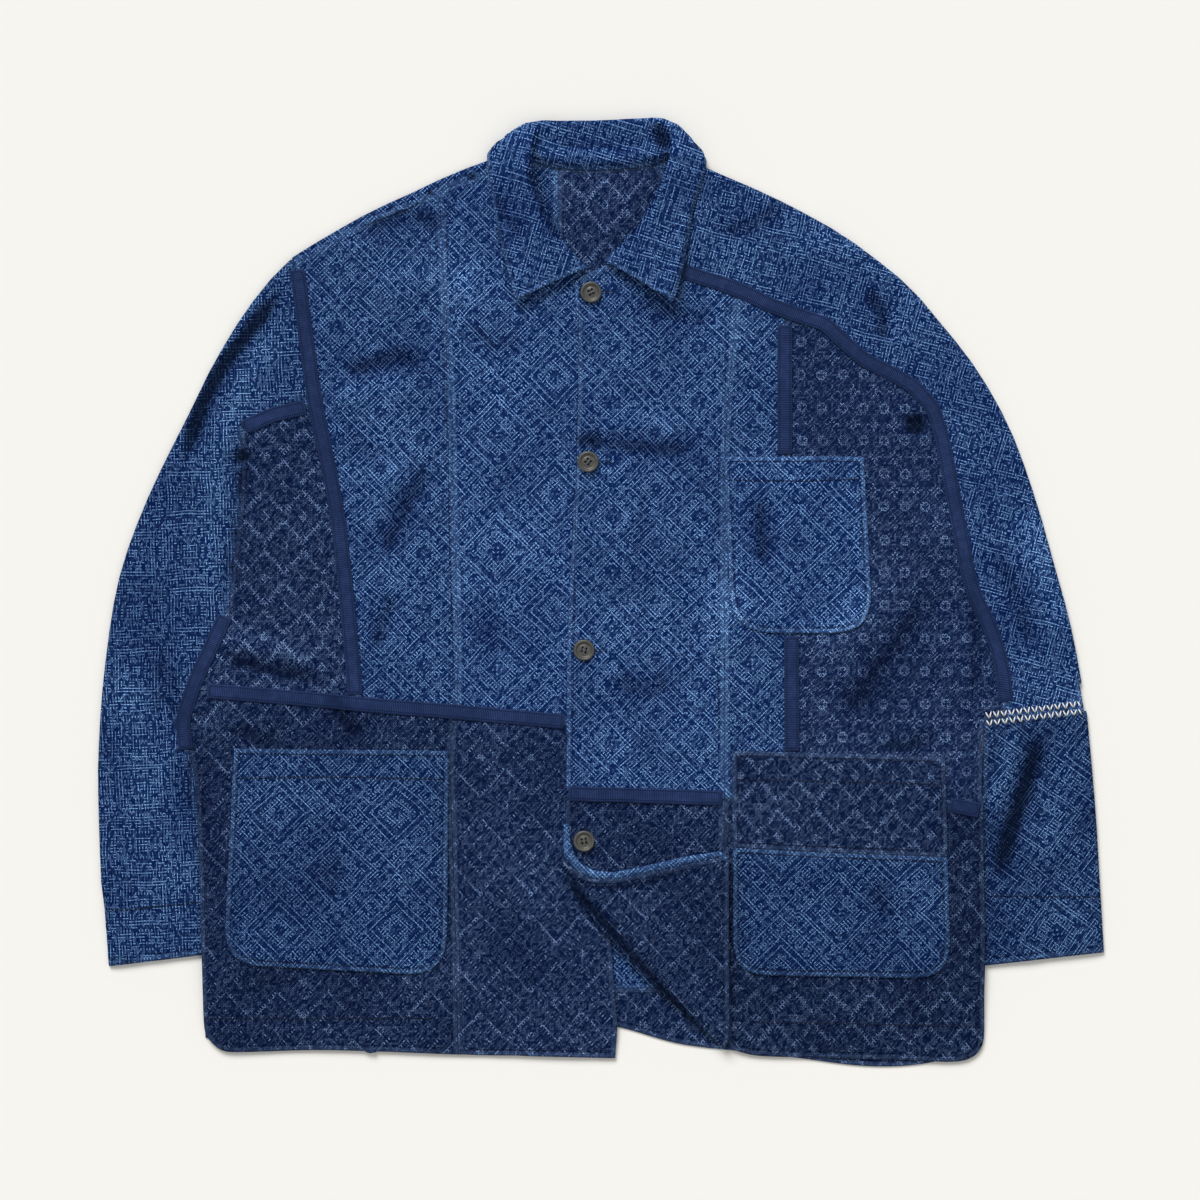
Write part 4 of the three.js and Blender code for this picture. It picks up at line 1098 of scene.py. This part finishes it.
class JACKET_OT_buttons(JacketOperator):
    """Turns the four horn buttons, sews them on and works their buttonholes"""

    bl_idname = "jacket.buttons"
    bl_label = "Buttons"

    def turned_disc(self, segments):
        bm = bmesh.new()
        verts = [bm.verts.new((r * MM, 0, z * MM)) for r, z in BUTTON_PROFILE]
        edges = [bm.edges.new(pair) for pair in zip(verts, verts[1:])]
        bmesh.ops.spin(bm, geom=verts + edges, axis=(0, 0, 1), cent=(0, 0, 0),
                       angle=2 * math.pi, steps=segments, use_merge=True)
        bmesh.ops.remove_doubles(bm, verts=bm.verts, dist=0.01 * MM)
        bmesh.ops.recalc_face_normals(bm, faces=bm.faces)
        return bm

    def drill(self, bm):
        cutter_bm = bmesh.new()
        for sx in (-1, 1):
            for sy in (-1, 1):
                place = Matrix.Translation((HOLE_PLACE * sx, HOLE_PLACE * sy, 0))
                bmesh.ops.create_cone(cutter_bm, cap_ends=True, segments=16, radius1=HOLE_RADIUS,
                                      radius2=HOLE_RADIUS, depth=12 * MM, matrix=place)
        disc, cutter = add_mesh("disc", bm), add_mesh("drill", cutter_bm)
        cut = disc.modifiers.new("Holes", "BOOLEAN")
        cut.operation = "DIFFERENCE"
        cut.object = cutter
        graph = bpy.context.evaluated_depsgraph_get()
        drilled = bpy.data.meshes.new_from_object(disc.evaluated_get(graph))
        for item in (disc, cutter):
            mesh = item.data
            bpy.data.objects.remove(item)
            bpy.data.meshes.remove(mesh)
        return drilled

    def execute(self, context):
        trim = context.scene.jacket_trim
        horn = horn_finish("button_horn")
        drilled = self.drill(self.turned_disc(trim.button_segments))
        sewing = Sewing()
        for number in range(1, 5):
            node = f"button_{number}"
            low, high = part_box(node)
            middle = (low + high) / 2
            x, y = middle.x / MM, middle.y / MM
            lift = creases(np.array([x]), np.array([y]))[0] * MM
            turn = Matrix.Rotation(math.radians(25 * number), 4, "Z")
            place = Matrix.Translation((middle.x, middle.y, low.z + lift + BUTTON_LIFT))
            bm = bmesh.new()
            bm.from_mesh(drilled)
            bmesh.ops.transform(bm, verts=bm.verts, matrix=place @ turn)
            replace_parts(as_piece(bm, "horn_" + node, horn), node)
            top = low.z + lift + THREAD_LEVEL
            bars = bmesh.new()
            for side in (-1, 1):
                ends = [turn @ Vector((HOLE_PLACE * e, HOLE_PLACE * side, 0)) for e in (-1, 1)]
                spindle(bars, *[Vector((middle.x + e.x, middle.y + e.y, top)) for e in ends],
                        0.5 * MM)
            sewing.take(bars)
            for n in range(BUTTONHOLE):
                along = x + 3 + n * BUTTONHOLE_STEP
                for lip in (1, -1):
                    sewing.stroke(along, y + 0.2 * lip, along + 0.3, y + 1.6 * lip, 0.3 * MM, 0.5)
            end = x + 18.6
            sewing.stroke(end, y - 1.8, end, y + 1.8, 0.5 * MM)
        sewing.piece("button_sewing", thread_finish("button_thread", tuple(trim.button_thread)))
        bpy.data.meshes.remove(drilled)
        return {"FINISHED"}


class JACKET_OT_stage(JacketOperator):
    """Lays the floor and sets the soft lights and the camera"""

    bl_idname = "jacket.stage"
    bl_label = "Stage"

    def execute(self, context):
        stage = context.scene.jacket_stage
        bm = bmesh.new()
        bmesh.ops.create_grid(bm, x_segments=1, y_segments=1, size=4.0)
        floor = add_mesh("floor", bm)
        floor.location.z = -0.2 * MM
        board = Board("floor_paper")
        place = board.node("ShaderNodeTexCoord", output="Object")
        tooth = board.noise(place, 300.0)
        floor.data.materials.append(board.finish(
            (*stage.floor_colour, 1.0), 0.95, tooth, 0.02 * MM, Specular_IOR_Level=0.1))

        world = bpy.data.worlds.new("studio")
        world.use_nodes = True
        background = world.node_tree.nodes["Background"]
        background.inputs["Color"].default_value = (1.0, 0.99, 0.97, 1)
        background.inputs["Strength"].default_value = stage.sky
        context.scene.world = world

        # each light's name, the place it shines from, its spread in degrees and its strength
        lights = [("key_light", (-0.35, 1.0, 0.82), 32, stage.key),
                  ("fill_light", (0.7, -0.8, 1.5), 60, 0.12 * stage.key)]
        for name, place, spread, strength in lights:
            lamp = bpy.data.lights.new(name, "SUN")
            lamp.energy = strength
            lamp.angle = math.radians(spread)
            light = add_object(name, lamp)
            light.location = place
            light.rotation_euler = (-Vector(place)).to_track_quat("-Z", "Y").to_euler()

        data = bpy.data.cameras.new("camera")
        data.lens = stage.lens
        data.clip_end = 50
        camera = add_object("camera", data)
        height = stage.view_width * stage.lens / data.sensor_width
        camera.location = (*VIEW_CENTRE, height)
        context.scene.camera = camera
        context.scene.view_settings.view_transform = "Standard"
        return {"FINISHED"}


class JACKET_PT_panel(bpy.types.Panel):
    """Lists the steps of the jacket in their order"""

    bl_label = "Patched Jacket"
    bl_space_type = "VIEW_3D"
    bl_region_type = "UI"
    bl_category = "Jacket"

    def draw(self, context):
        for step in STEPS:
            self.layout.operator(step.bl_idname)
        for setting in SETTINGS:
            group = getattr(context.scene, setting)
            for name in group.bl_rna.properties.keys():
                if name not in {"rna_type", "name"}:
                    self.layout.prop(group, name)


SETTINGS = {"jacket_cloth": JacketCloth, "jacket_trim": JacketTrim, "jacket_stage": JacketStage}
STEPS = (JACKET_OT_back, JACKET_OT_right_front, JACKET_OT_left_front, JACKET_OT_sleeves,
         JACKET_OT_collar, JACKET_OT_pockets, JACKET_OT_tapes,
         JACKET_OT_rolled_edge, JACKET_OT_sewing, JACKET_OT_buttons, JACKET_OT_stage)
CLASSES = (*SETTINGS.values(), *STEPS, JACKET_PT_panel)


def register():
    for item in CLASSES:
        bpy.utils.register_class(item)
    for name, group in SETTINGS.items():
        setattr(bpy.types.Scene, name, PointerProperty(type=group))


def unregister():
    for name in SETTINGS:
        delattr(bpy.types.Scene, name)
    for item in reversed(CLASSES):
        bpy.utils.unregister_class(item)


def main():
    register()
    for step in STEPS:
        group, name = step.bl_idname.split(".")
        getattr(getattr(bpy.ops, group), name)()


if __name__ == "__main__":
    main()
